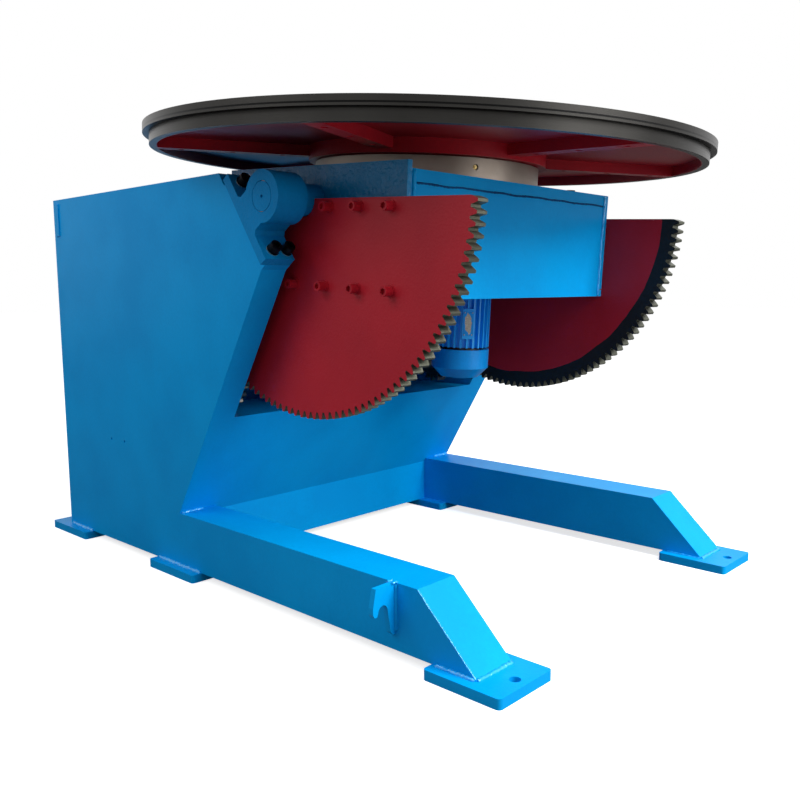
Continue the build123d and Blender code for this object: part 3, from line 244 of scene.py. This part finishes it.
def motor_with_painted_gap_shade():
    """Motor enamel with a band of painted shade right over the cowl."""
    made = enamel("blue_enamel_on_finned_motor", "#2CB4FF", "#18A4F4", peel=0.2, gloss=0.26, shine=0.4)
    tree = made.node_tree
    cowl_top = (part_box("rotation_motor_cowl")[1].z - AXIS.z - COWL_R * sin(LEAN)) / cos(LEAN)
    height = round_axis(tree)[2]
    low = add(tree, "Math", {0: height, 1: cowl_top + FIN_GAP}, operation="LESS_THAN").outputs[0]
    colour = [n for n in tree.nodes if n.type == "BSDF_PRINCIPLED"][0].inputs["Base Color"]
    # Below this height the body is nearly black: painted shade of the gap over the cowl.
    coat = add(tree, "Mix", {0: low, FIRST: colour.links[0].from_socket, SECOND: linear("#041019")},
               data_type="RGBA")
    tree.links.new(coat.outputs[MIXED], colour)
    print("Top of the fan cowl on the level head:", round(cowl_top, 4))
    return made


give(motor_with_painted_gap_shade(), "rotation_motor")

# %% [markdown]
# The table plate and its rim ring have three finishes: a turned face on top, a dark oiled edge
# with a thin band of painted shade along its foot for a shallow groove, and red paint inside the
# rim. The material picks the finish by which way the surface faces, how high it is over the tilt
# axis and how far it is from the middle, as a painter's masking tape would. The walls of the holes
# stay bare.

# %% Table plate and rim
PAINTED_R = 0.7645
PAINTED_BELOW = 0.1675
GROOVE_SHADE_BAND = (0.1735, 0.1775)


def table_finish():
    """Bare turned top, dark edge with a band of painted shade, and red paint inside the rim."""
    made, tree, steel = new_material("table_steel_and_paint")
    place, reach, height = round_axis(tree)
    marks = rings(tree, reach, height, 2.5)
    face = add(tree, "SeparateXYZ", {"Vector": add(tree, "TexCoord").outputs["Normal"]}).outputs["Z"]
    on_top = add(tree, "Math", {0: face, 1: 0.5}, operation="GREATER_THAN").outputs[0]
    inside = add(tree, "Math", {0: reach, 1: PAINTED_R}, operation="LESS_THAN").outputs[0]
    below = add(tree, "Math", {0: height, 1: PAINTED_BELOW}, operation="LESS_THAN").outputs[0]
    under = add(tree, "Math", {0: face, 1: -0.5}, operation="LESS_THAN").outputs[0]
    either = add(tree, "Math", {0: below, 1: under}, operation="MAXIMUM").outputs[0]
    painted = add(tree, "Math", {0: inside, 1: either}, operation="MULTIPLY").outputs[0]
    film = add(tree, "TexNoise", {"Vector": place, "Scale": 5.0, "Detail": 4.0}).outputs["Fac"]
    over_foot = add(tree, "Math", {0: height, 1: GROOVE_SHADE_BAND[0]}, operation="GREATER_THAN").outputs[0]
    under_band = add(tree, "Math", {0: height, 1: GROOVE_SHADE_BAND[1]}, operation="LESS_THAN").outputs[0]
    groove_shade = add(tree, "Math", {0: over_foot, 1: under_band}, operation="MULTIPLY").outputs[0]
    edge = add(tree, "Mix", {0: film, FIRST: linear("#3D3C3A"), SECOND: linear("#2A2928")},
               data_type="RGBA").outputs[MIXED]
    # Near-black band at the foot of the edge: painted shade of a shallow groove.
    edge = add(tree, "Mix", {0: groove_shade, FIRST: edge, SECOND: linear("#171717")},
               data_type="RGBA").outputs[MIXED]
    bright = add(tree, "Mix", {0: marks, FIRST: linear("#8D8A83"), SECOND: linear("#76736C")},
                 data_type="RGBA").outputs[MIXED]
    bare = add(tree, "Mix", {0: on_top, FIRST: edge, SECOND: bright}, data_type="RGBA").outputs[MIXED]
    paint = add(tree, "Mix", {0: film, FIRST: linear("#B01E2C"), SECOND: linear("#8C1824")},
                data_type="RGBA").outputs[MIXED]
    coat = add(tree, "Mix", {0: painted, FIRST: bare, SECOND: paint}, data_type="RGBA")
    tree.links.new(coat.outputs[MIXED], steel.inputs["Base Color"])
    metal = add(tree, "Math", {0: 1.0, 1: painted}, operation="SUBTRACT").outputs[0]
    tree.links.new(metal, steel.inputs["Metallic"])
    rough = add(tree, "MapRange", {"Value": marks, "To Min": 0.26, "To Max": 0.42}).outputs["Result"]
    tree.links.new(rough, steel.inputs["Roughness"])
    height_of = add(tree, "Math", {0: marks, 1: metal}, operation="MULTIPLY").outputs[0]
    bump = add(tree, "Bump", {"Height": height_of, "Strength": 0.25, "Distance": 0.0006})
    tree.links.new(bump.outputs["Normal"], steel.inputs["Normal"])
    return made


give(table_finish(), "table_plate", "table_rim")
print("Red paint inside a radius of", PAINTED_R, "m, under the plate")

# %% [markdown]
# The sectors are flame-cut plate, painted red right out to the tooth tips on the outside. The cut
# flanks of the teeth stay bare, grey-green with mill oil. On the inside face the paint stops short
# of the teeth, and from there outwards the plate is black with oil. The paint could be a second
# thin piece, but a material that reads the distance from the tilt axis, and which side of the
# plate it is on, needs no new mesh.

# %% Sector paint and bare teeth
TOOTH_ROOT_R = 0.5415
BARE_BAND_R = (0.500, 0.515)


def sector_finish():
    """Red paint, bare flanks, and a bare oily band on the inside face."""
    made, tree, shader = new_material("red_enamel_with_bare_teeth")
    places = add(tree, "TexCoord")
    place = places.outputs["Object"]
    own = add(tree, "Mapping", {"Vector": place, "Location": AXIS}, vector_type="TEXTURE")
    parts = add(tree, "SeparateXYZ", {"Vector": own.outputs["Vector"]})
    flat = add(tree, "CombineXYZ", {"Y": parts.outputs["Y"], "Z": parts.outputs["Z"]})
    reach = add(tree, "VectorMath", {0: flat.outputs["Vector"]}, operation="LENGTH").outputs["Value"]
    facing = add(tree, "SeparateXYZ", {"Vector": places.outputs["Normal"]}).outputs["X"]
    side = add(tree, "Math", {0: parts.outputs["X"]}, operation="SIGN").outputs[0]
    outward = add(tree, "Math", {0: facing, 1: side}, operation="MULTIPLY").outputs[0]
    inner_face = add(tree, "Math", {0: outward, 1: -0.5}, operation="LESS_THAN").outputs[0]
    outer_face = add(tree, "Math", {0: outward, 1: 0.5}, operation="GREATER_THAN").outputs[0]
    wobble = add(tree, "TexNoise", {"Vector": place, "Scale": 9.0, "Detail": 2.0}).outputs["Fac"]
    band_edge = add(tree, "MapRange", {"Value": wobble, "To Min": BARE_BAND_R[0],
                                       "To Max": BARE_BAND_R[1]}).outputs["Result"]
    past_band = add(tree, "Math", {0: reach, 1: band_edge}, operation="GREATER_THAN").outputs[0]
    bare_band = add(tree, "Math", {0: past_band, 1: inner_face}, operation="MULTIPLY").outputs[0]
    past_root = add(tree, "Math", {0: reach, 1: TOOTH_ROOT_R}, operation="GREATER_THAN").outputs[0]
    not_outer = add(tree, "Math", {0: 1.0, 1: outer_face}, operation="SUBTRACT").outputs[0]
    flank = add(tree, "Math", {0: past_root, 1: not_outer}, operation="MULTIPLY").outputs[0]
    flank = add(tree, "Math", {0: flank, 1: bare_band}, operation="SUBTRACT", use_clamp=True).outputs[0]
    clouds = add(tree, "TexNoise", {"Vector": place, "Scale": 5.0, "Detail": 3.0}).outputs["Fac"]
    grime = add(tree, "TexNoise", {"Vector": place, "Scale": 70.0, "Detail": 4.0}).outputs["Fac"]
    paint = add(tree, "Mix", {0: clouds, FIRST: linear("#CC2434"), SECOND: linear("#A81C2C")},
                data_type="RGBA").outputs[MIXED]
    steel = add(tree, "Mix", {0: grime, FIRST: linear("#55574B"), SECOND: linear("#74766A")},
                data_type="RGBA").outputs[MIXED]
    oil = add(tree, "Mix", {0: grime, FIRST: linear("#15171A"), SECOND: linear("#232629")},
              data_type="RGBA").outputs[MIXED]
    colour = add(tree, "Mix", {0: flank, FIRST: paint, SECOND: steel}, data_type="RGBA").outputs[MIXED]
    colour = add(tree, "Mix", {0: bare_band, FIRST: colour, SECOND: oil}, data_type="RGBA").outputs[MIXED]
    tree.links.new(colour, shader.inputs["Base Color"])
    metal = add(tree, "Math", {0: flank, 1: 0.85}, operation="MULTIPLY").outputs[0]
    tree.links.new(metal, shader.inputs["Metallic"])
    rough = add(tree, "MapRange", {"Value": clouds, "To Min": 0.34, "To Max": 0.48}).outputs["Result"]
    tree.links.new(rough, shader.inputs["Roughness"])
    skin = add(tree, "TexNoise", {"Vector": place, "Scale": 1000 / 6.0, "Detail": 1.5}).outputs["Fac"]
    bump = add(tree, "Bump", {"Height": skin, "Strength": 0.25, "Distance": 0.0015})
    tree.links.new(bump.outputs["Normal"], shader.inputs["Normal"])
    shader.inputs["Specular IOR Level"].default_value = 0.25
    return made


give(sector_finish(), "left_sector_gear", "right_sector_gear")
print("Bare flanks outside a radius of", TOOTH_ROOT_R, "m")

# %% [markdown]
# Small steel parts. Cap screws have a black oxide skin, which is dark and slightly waxy. Pinions
# and shafts are milled steel with a film of oil, the trunnions' bushes are bronze and the grease
# nipple is brass. The pillow blocks' washers are bright zinc, and share a node with their black
# screws, so that material changes with the height over the seat.

# %% Milled steel, black oxide, zinc and bronze
SEAT_SLOPE = radians(56.15)
WASHER_TOP = -0.0731


def plain_metal(name, colour, stain, roughness, grain_mm=3.0):
    """A metal with mottled colour and a fine uneven sheen."""
    made, tree, shader = new_material(name)
    place = add(tree, "TexCoord").outputs["Object"]
    grain = add(tree, "TexNoise", {"Vector": place, "Scale": 1000 / grain_mm, "Detail": 3.0}).outputs["Fac"]
    patches = add(tree, "TexNoise", {"Vector": place, "Scale": 1000 / 40.0, "Detail": 2.0}).outputs["Fac"]
    coat = add(tree, "Mix", {0: patches, FIRST: linear(colour), SECOND: linear(stain)}, data_type="RGBA")
    tree.links.new(coat.outputs[MIXED], shader.inputs["Base Color"])
    rough = add(tree, "MapRange", {"Value": grain, "To Min": roughness - 0.08, "To Max": roughness + 0.12})
    tree.links.new(rough.outputs["Result"], shader.inputs["Roughness"])
    bump = add(tree, "Bump", {"Height": grain, "Strength": 0.15, "Distance": 0.0004})
    tree.links.new(bump.outputs["Normal"], shader.inputs["Normal"])
    shader.inputs["Metallic"].default_value = 1.0
    return made


def screw_and_washer():
    """Black oxide screws on zinc washers, told apart by height over the sloping seat."""
    made, tree, shader = new_material("black_oxide_and_zinc")
    place = add(tree, "TexCoord").outputs["Object"]
    own = add(tree, "Mapping", {"Vector": place, "Location": AXIS, "Rotation": (SEAT_SLOPE, 0, 0)},
              vector_type="TEXTURE")
    height = add(tree, "SeparateXYZ", {"Vector": own.outputs["Vector"]}).outputs["Z"]
    low = add(tree, "Math", {0: height, 1: WASHER_TOP}, operation="LESS_THAN").outputs[0]
    grain = add(tree, "TexNoise", {"Vector": place, "Scale": 400.0, "Detail": 2.0}).outputs["Fac"]
    black = add(tree, "Mix", {0: grain, FIRST: linear("#2B2B2D"), SECOND: linear("#1B1B1D")},
                data_type="RGBA").outputs[MIXED]
    zinc = add(tree, "Mix", {0: grain, FIRST: linear("#D8D5CA"), SECOND: linear("#B7B2A2")},
               data_type="RGBA").outputs[MIXED]
    coat = add(tree, "Mix", {0: low, FIRST: black, SECOND: zinc}, data_type="RGBA")
    tree.links.new(coat.outputs[MIXED], shader.inputs["Base Color"])
    rough = add(tree, "MapRange", {"Value": grain, "To Min": 0.3, "To Max": 0.45}).outputs["Result"]
    tree.links.new(rough, shader.inputs["Roughness"])
    shader.inputs["Metallic"].default_value = 1.0
    return made


milled_steel = plain_metal("milled_steel_with_oil", "#8A877E", "#6D6A62", 0.36)
black_oxide = plain_metal("black_oxide_steel", "#2A2A2C", "#1C1C1E", 0.38)
bronze = plain_metal("bearing_bronze", "#A57C46", "#8A6536", 0.35)
brass = plain_metal("nipple_brass", "#D8C48C", "#A98F55", 0.25)
give(milled_steel, "tilt_cross_shaft", "left_tilt_pinion", "right_tilt_pinion", "rotation_pinion",
     "shaft_bearings")
give(black_oxide, "slewing_bolts", "table_bolts")
give(screw_and_washer(), "pillow_bolts")
give(bronze, "trunnion_bushes")
give(brass, "grease_nipple")
print("Plain metals:", [m.name for m in (milled_steel, black_oxide, bronze, brass)])

# %% [markdown]
# Weld beads hold the plates together and catch the light at every inner corner. A bead is laid as
# a row of overlapping ripples. It could be a displaced strip, but it is quick to build the way it
# is made: a small disc is extruded step by step along the joint, each step a little wider or
# narrower than the last, and then the points are shaken slightly.

# %% Weld beads
RIPPLE = 0.006
NARROW, SWELL = 0.7, 1.25
SHAKE = 0.13
BEAD_SMOOTH = 80
bead_count = 0


def select_none():
    bpy.ops.object.select_all(action="DESELECT")


def finished(piece, name, material, body, smooth=40):
    """Names a piece, gives it its finish and hangs it on a body, with its place in its mesh."""
    select_none()
    piece.select_set(True)
    bpy.context.view_layer.objects.active = piece
    bpy.ops.object.transform_apply(location=True, rotation=True, scale=True)
    bpy.ops.object.shade_smooth_by_angle(angle=radians(smooth))
    piece.name = name
    piece.data.name = name
    piece.data.materials.clear()
    piece.data.materials.append(material)
    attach(piece, body)


def bead(start, end, width, body, material=weld_blue):
    """One weld bead along a joint, from start to end."""
    global bead_count
    bead_count += 1
    start, end = Vector(start), Vector(end)
    length = (end - start).length
    steps = max(5, round(length / RIPPLE))
    select_none()
    bpy.ops.mesh.primitive_circle_add(vertices=8, radius=width / 2 * NARROW, fill_type="NGON")
    made = bpy.context.object
    bpy.ops.object.mode_set(mode="EDIT")
    for i in range(steps):
        bpy.ops.mesh.extrude_region_move(TRANSFORM_OT_translate={"value": (0, 0, length / steps)})
        growth = SWELL if i % 2 == 0 else 1 / SWELL
        bpy.ops.transform.resize(value=(growth, growth, 1),
                                 center_override=(0, 0, length * (i + 1) / steps))
    bpy.ops.mesh.select_all(action="SELECT")
    bpy.ops.transform.vertex_random(offset=width * SHAKE, seed=bead_count)
    bpy.ops.mesh.normals_make_consistent(inside=False)
    bpy.ops.object.mode_set(mode="OBJECT")
    made.rotation_mode = "QUATERNION"
    made.rotation_quaternion = (end - start).to_track_quat("Z", "Y")
    made.location = start
    finished(made, f"weld_bead_{bead_count:02d}", material, body, BEAD_SMOOTH)


print("Ripples", RIPPLE * 1000, "mm apart")

# %% [markdown]
# On the base, beads run along both sides of each leg over the feet, down the edges of the sloping
# nose, across the column's root and down both sides of each cable hook. The far hook sits 20 mm
# lower than the near one.

# %% Beads on the base
LEG_INNER_X, COLUMN_INNER_X = 0.479, 0.525
FOOT_RUNS = ((-0.972, -0.773), (0.103, 0.337), (0.742, 0.903))
NOSE_TOE, NOSE_TOP, ROOT_Y = -0.896, -0.733, 0.204
HOOK_Y, HOOK_HALF, HOOK_HEIGHT, FAR_HOOK_DROP = -0.660, 0.007, 0.112, 0.020
HOOK_TOP_RUNS = (-0.653, -0.668)
side_x = round(-left_x, 4)
for side in (-1, 1):
    outer, inner = side * side_x, side * LEG_INNER_X
    for low, high in FOOT_RUNS:
        start = max(low, NOSE_TOE) + 0.004
        for x, width in ((outer, 0.017), (inner, 0.008)):
            bead((x, start, foot_top), (x, high - 0.012, foot_top), width, "base")
    toe = NOSE_TOE - 0.001
    bead((outer - side * 0.002, toe, foot_top), (inner + side * 0.002, toe, foot_top), 0.013, "base")
    edge = outer - side * 0.001
    bead((edge, NOSE_TOE + 0.003, foot_top + 0.003), (edge, NOSE_TOP, leg_top - 0.003), 0.005, "base")
    bead((outer - side * 0.006, ROOT_Y, leg_top), (side * COLUMN_INNER_X, ROOT_Y, leg_top), 0.017, "base")
    hook_top = leg_top if side < 0 else leg_top - FAR_HOOK_DROP
    for offset, width in ((-HOOK_HALF, 0.014), (HOOK_HALF, 0.008)):
        bead((outer, HOOK_Y + offset, hook_top - 0.004), (outer, HOOK_Y + offset, hook_top - HOOK_HEIGHT),
             width, "base", blue_enamel)
    for y in HOOK_TOP_RUNS:
        bead((outer - side * 0.004, y, hook_top + 0.001), (outer + side * 0.012, y, hook_top + 0.001),
             0.008, "base")
print("Weld beads on the base:", bead_count)

# %% [markdown]
# The tilting box is welded from plate as well. Its front plate stands between the side plates,
# with a round fillet down each corner. The joint under the thick top plate was ground nearly flush,
# and its thin line in shade is laid as short pieces of painted shade that wander up and down.

# %% Welds of the tilting box
# The seam beads are dark blue: painted shade in the ground joint.
seam_painted_shade = enamel("painted_shade_in_a_ground_seam", "#1B68A6", "#0E4474", peel=0.6, gloss=0.5, peel_mm=4.0)
BOX_FRONT, BOX_REAR, CORNER_LOW, CORNER_HIGH = -324, 356, -230, 68
FRONT_CORNER_X, REAR_CORNER_X = 431, 437
for side in (-1, 1):
    x = side * FRONT_CORNER_X
    bead(on_head(x, BOX_FRONT, CORNER_LOW), on_head(x, BOX_FRONT, CORNER_HIGH), 0.013, "head",
         weld_blue if side > 0 else blue_enamel)
    x = side * REAR_CORNER_X
    bead(on_head(x, BOX_REAR, CORNER_LOW), on_head(x, BOX_REAR, CORNER_HIGH), 0.012, "head")

SEAM_START, SEAM_STEP, SEAM_HEIGHT, SEAM_POINTS = -420, 56, 39, 16
seam = [on_head(SEAM_START + SEAM_STEP * i, BOX_FRONT - 0.6,
                SEAM_HEIGHT + 1.3 * sin(2.4 * i) + 0.7 * sin(5.1 * i)) for i in range(SEAM_POINTS)]
for start, end in zip(seam, seam[1:]):
    bead(start, end, 0.0065, "head", seam_painted_shade)
print("Weld beads in all:", bead_count)

# %% [markdown]
# A plug screw closes the filling hole in the box's top, near the front edge. The photograph
# shows it edge on, so a short cylinder is enough, laid at the slope of the top plate.

# %% Plug screw
PLUG_PLACE, PLUG_R, PLUG_HEIGHT = (300, -285, 74.4), 0.013, 0.007
select_none()
bpy.ops.mesh.primitive_cylinder_add(vertices=32, radius=PLUG_R, depth=PLUG_HEIGHT)
plug = bpy.context.object
plug.rotation_euler = (LEAN, 0, 0)
plug.location = on_head(*PLUG_PLACE)
finished(plug, "box_top_plug", black_oxide, "head")
print("Plug at", [round(v, 3) for v in on_head(*PLUG_PLACE)])

# %% [markdown]
# The rear panel is screwed on, so that the gearbox behind it can be reached. Its pan-head screws
# were painted over with the panel. They stand in a row along each edge. A flattened half sphere
# is modelled once and copied, and the same function later makes the nameplate's rivets.

# %% Screws of the rear panel
def dome(radius, segments, ring_count):
    """A flattened half sphere that looks up Z, for the head of a screw or rivet."""
    select_none()
    bpy.ops.mesh.primitive_uv_sphere_add(segments=segments, ring_count=ring_count, radius=radius)
    made = bpy.context.object
    bpy.ops.object.mode_set(mode="EDIT")
    bpy.ops.mesh.select_all(action="SELECT")
    bpy.ops.mesh.bisect(plane_co=(0, 0, 0), plane_no=(0, 0, 1), use_fill=True, clear_inner=True)
    bpy.ops.mesh.select_all(action="SELECT")
    bpy.ops.transform.resize(value=(1, 1, 0.5))
    bpy.ops.object.mode_set(mode="OBJECT")
    return made


def copy_of(model):
    """A copy that has its own mesh."""
    made = bpy.data.objects.new(model.name, model.data.copy())
    bpy.context.scene.collection.objects.link(made)
    return made


SCREW_COLUMNS, SCREW_LEVELS = (-0.565, -0.28, 0, 0.28, 0.565), (0.42, 0.63, 0.84)
SCREW_INSET, SCREW_R, SCREW_SUNK = 0.03, 0.009, 0.0005
panel_low, panel_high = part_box("rear_panel")
rows = [(x, z) for x in SCREW_COLUMNS for z in (panel_low.z + SCREW_INSET, panel_high.z - SCREW_INSET)]
rows += [(x, z) for x in (SCREW_COLUMNS[0], SCREW_COLUMNS[-1]) for z in SCREW_LEVELS]
screw_head = dome(SCREW_R, 20, 10)
for i, (x, z) in enumerate(rows):
    screw = copy_of(screw_head)
    screw.rotation_euler = (-pi / 2, 0, 0)
    screw.location = (x, panel_high.y - SCREW_SUNK, z)
    finished(screw, f"rear_panel_screw_{i + 1:02d}", blue_enamel, "base")
bpy.data.meshes.remove(screw_head.data)
print("Rear panel screws:", len(rows))

# %% [markdown]
# A motor carries a nameplate on a flat pad between its fins. This one is blank. The painter masked
# it with a torn strip of tape, so blue paint runs over its edges in waves, and what shows is
# scratched. The bare part narrows towards both ends, which a parabola along the plate's length
# gives, and noise makes its edge wander.

# %% Nameplate finish
BARE_HALF_WIDTH, BARE_TAPER = 0.0105, 8.5
aluminium = plain_metal("satin_aluminium_sheet", "#C9C3B0", "#A8A08C", 0.4, grain_mm=4.0)


def masked_plate(centre, turn):
    """Scratched aluminium with enamel over its long edges, in waves."""
    made, tree, shader = new_material("overpainted_nameplate")
    place = add(tree, "TexCoord").outputs["Object"]
    own = add(tree, "Mapping", {"Vector": place, "Location": centre, "Rotation": turn},
              vector_type="TEXTURE")
    parts = add(tree, "SeparateXYZ", {"Vector": own.outputs["Vector"]})
    wave = add(tree, "TexNoise", {"Vector": place, "Scale": 55.0, "Detail": 2.0}).outputs["Fac"]
    sway = add(tree, "MapRange", {"Value": wave, "From Min": 0.3, "From Max": 0.7, "To Min": -0.004,
                                  "To Max": 0.004}).outputs["Result"]
    across = add(tree, "Math", {0: parts.outputs["X"], 1: sway}, operation="ADD").outputs[0]
    off = add(tree, "Math", {0: across}, operation="ABSOLUTE").outputs[0]
    far = add(tree, "Math", {0: parts.outputs["Y"], 1: 2.0}, operation="POWER").outputs[0]
    reach = add(tree, "Math", {0: far, 1: -BARE_TAPER, 2: BARE_HALF_WIDTH},
                operation="MULTIPLY_ADD").outputs[0]
    covered = add(tree, "Math", {0: off, 1: reach}, operation="GREATER_THAN").outputs[0]
    streaks = add(tree, "Mapping", {"Vector": own.outputs["Vector"], "Scale": (120, 420, 120)})
    scratch = add(tree, "TexNoise", {"Vector": streaks.outputs["Vector"], "Scale": 1.0, "Detail": 3.0})
    bare = add(tree, "Mix", {0: scratch.outputs["Fac"], FIRST: linear("#D8CFC0"), SECOND: linear("#5E564A")},
               data_type="RGBA").outputs[MIXED]
    coat = add(tree, "Mix", {0: covered, FIRST: bare, SECOND: linear("#0098EA")}, data_type="RGBA")
    tree.links.new(coat.outputs[MIXED], shader.inputs["Base Color"])
    rough = add(tree, "MapRange", {"Value": scratch.outputs["Fac"], "To Min": 0.3, "To Max": 0.6})
    tree.links.new(rough.outputs["Result"], shader.inputs["Roughness"])
    metal = add(tree, "Math", {0: 0.6, 1: covered}, operation="SUBTRACT", use_clamp=True).outputs[0]
    tree.links.new(metal, shader.inputs["Metallic"])
    shader.inputs["Specular IOR Level"].default_value = 0.3
    return made


print("Bare part at most", 2 * BARE_HALF_WIDTH, "m wide")

# %% [markdown]
# The plate is a thin satin aluminium sheet with rounded corners, held by four drive rivets. It is
# cut from a plane, its corners are bevelled, and extrusion gives it its thickness. The motor's axis
# stands 183 mm from the table's, turned 4 degrees, and the pad looks to the machine's front left.

# %% Nameplate and rivets
DRIVE_REACH, DRIVE_ANGLE = 183, radians(-4)
DRIVE = (DRIVE_REACH * cos(DRIVE_ANGLE), TABLE_BACK_MM + DRIVE_REACH * sin(DRIVE_ANGLE))
PAD_ANGLE = radians(-128)
PAD_FACE, PLATE_HEIGHT = 90.5, -330
PLATE_WIDTH, PLATE_LENGTH, CORNER, SHEET = 0.030, 0.074, 0.004, 0.0008
RIVET_ACROSS, RIVET_UP, RIVET_R = 12, 34, 0.002


def on_pad(out, across, height):
    """A point by the motor's nameplate pad, in millimetres from the motor's axis and the tilt axis."""
    return on_head(DRIVE[0] + out * cos(PAD_ANGLE) - across * sin(PAD_ANGLE),
                   DRIVE[1] + out * sin(PAD_ANGLE) + across * cos(PAD_ANGLE), height)


select_none()
bpy.ops.mesh.primitive_plane_add(size=1.0)
plate = bpy.context.object
plate.scale = (PLATE_WIDTH, PLATE_LENGTH, 1)
bpy.ops.object.transform_apply(location=False, rotation=False, scale=True)
bpy.ops.object.mode_set(mode="EDIT")
bpy.ops.mesh.bevel(offset=CORNER, segments=4, affect="VERTICES")
bpy.ops.mesh.select_all(action="SELECT")
bpy.ops.mesh.extrude_region_move(TRANSFORM_OT_translate={"value": (0, 0, SHEET)})
bpy.ops.mesh.select_all(action="SELECT")
bpy.ops.mesh.normals_make_consistent(inside=False)
bpy.ops.object.mode_set(mode="OBJECT")
facing = on_pad(1, 0, 0) - on_pad(0, 0, 0)
plate.rotation_mode = "QUATERNION"
plate.rotation_quaternion = facing.to_track_quat("Z", "Y")
plate.location = on_pad(PAD_FACE, 0, PLATE_HEIGHT)
sheet_finish = masked_plate(plate.location, plate.rotation_quaternion.to_euler())
finished(plate, "motor_nameplate", sheet_finish, "head")

corners = [(x, y) for y in (PLATE_HEIGHT + RIVET_UP, PLATE_HEIGHT - RIVET_UP)
           for x in (-RIVET_ACROSS, RIVET_ACROSS)]
rivet_head = dome(RIVET_R, 12, 8)
for i, (across, height) in enumerate(corners):
    rivet = copy_of(rivet_head)
    rivet.rotation_mode = "QUATERNION"
    rivet.rotation_quaternion = facing.to_track_quat("Z", "Y")
    rivet.location = on_pad(PAD_FACE + SHEET * 1000, across, height)
    finished(rivet, f"nameplate_rivet_{i + 1}", aluminium, "head")
bpy.data.meshes.remove(rivet_head.data)
print("Nameplate at", [round(v, 3) for v in on_pad(PAD_FACE, 0, PLATE_HEIGHT)])

# %% [markdown]
# The machine stood in daylight that came in at the front of a hall. A key lamp and a wide skylight
# over the front give the bright leg tops and noses, a low wide lamp lights the upright faces, and a
# weak one high on the left keeps the side plate dark but readable. The pale floor carries the
# shadow. It glows a little for the camera alone, so that it meets the white background.

# %% Floor and light
FLOOR_GLOW, ROOM_LIGHT = 0.72, 0.36


def pale_floor():
    """Matt grey to the lamps, and nearly white to the camera."""
    made = bpy.data.materials.new("pale_floor")
    made.use_nodes = True
    tree = made.node_tree
    tree.nodes.clear()
    to_camera = add(tree, "LightPath").outputs["Is Camera Ray"]
    tone = add(tree, "Mix", {0: to_camera, FIRST: linear("#7A7A78"), SECOND: linear("#F0F0EE")},
               data_type="RGBA").outputs[MIXED]
    matt = add(tree, "BsdfDiffuse", {"Color": tone})
    shining = add(tree, "Math", {0: to_camera, 1: FLOOR_GLOW}, operation="MULTIPLY")
    glow = add(tree, "Emission", {"Color": (1, 1, 1, 1), "Strength": shining.outputs[0]})
    both = add(tree, "AddShader", {0: matt.outputs[0], 1: glow.outputs[0]})
    output = add(tree, "OutputMaterial")
    tree.links.new(both.outputs[0], output.inputs["Surface"])
    return made


select_none()
bpy.ops.mesh.primitive_plane_add(size=60.0)
floor = bpy.context.object
floor.name = "floor"
floor.data.materials.append(pale_floor())

world = bpy.data.worlds.new("soft_studio")
bpy.context.scene.world = world
world.use_nodes = True
sky = world.node_tree
sky.nodes.clear()
path = add(sky, "LightPath")
glass = add(sky, "Math", {0: path.outputs["Is Glossy Ray"], 1: path.outputs["Is Transmission Ray"]},
            operation="MAXIMUM")
direct = add(sky, "Math", {0: path.outputs["Is Camera Ray"], 1: glass.outputs[0]}, operation="MAXIMUM")
room = add(sky, "Background", {"Color": linear("#F4F6FA"), "Strength": ROOM_LIGHT})
white = add(sky, "Background", {"Color": (1, 1, 1, 1), "Strength": 1.0})
seen = add(sky, "MixShader", {0: direct.outputs[0], 1: room.outputs[0], 2: white.outputs[0]})
sky_out = add(sky, "OutputWorld")
sky.links.new(seen.outputs[0], sky_out.inputs["Surface"])


def lamp(name, place, target, size, watts):
    """A square soft white lamp that looks at a target."""
    data = bpy.data.lights.new(name, "AREA")
    data.size = size
    data.energy = watts
    made = bpy.data.objects.new(name, data)
    bpy.context.scene.collection.objects.link(made)
    made.location = place
    made.rotation_mode = "QUATERNION"
    made.rotation_quaternion = (Vector(target) - Vector(place)).to_track_quat("-Z", "Y")


lamp("key_over_front", (0.6, -4.1, 3.6), (0, -0.4, 0.3), 2.6, 235)
lamp("open_door_in_front", (0.9, -4.8, 1.5), (0, -0.3, 0.6), 3.2, 68)
lamp("skylight_over_front", (0.2, -2.6, 5.5), (0, -0.7, 0.2), 3.0, 145)
lamp("fill_from_left", (-3.4, 0.9, 3.3), (-0.5, 0.0, 0.4), 2.4, 50)
print("Lamps:", [light.name for light in bpy.data.lights])

# %% [markdown]
# The camera repeats the photograph. Its place, turn and lens were worked out from the straight
# edges and toothed circles that the photograph shows.

# %% Camera
CAMERA_PLACE = (-1.9146, -1.9194, 0.8307)
yaw, pitch, roll = 0.814651, -0.131317, -0.006453
SENSOR_MM, FOCAL_PIXELS, PICTURE_PIXELS = 36.0, 845.74, 800
camera_data = bpy.data.cameras.new("photo_camera")
camera_data.sensor_width = SENSOR_MM
camera_data.lens = FOCAL_PIXELS / PICTURE_PIXELS * SENSOR_MM
camera_data.clip_end = 100.0
camera = bpy.data.objects.new("photo_camera", camera_data)
bpy.context.scene.collection.objects.link(camera)
camera.rotation_mode = "XYZ"
camera.rotation_euler = (pi / 2 + pitch, 0, -yaw)
camera.location = CAMERA_PLACE
camera.rotation_euler.rotate_axis("Z", roll)
bpy.context.scene.camera = camera
bpy.context.scene.view_settings.view_transform = "Standard"
print("Lens in millimetres:", round(camera_data.lens, 2))
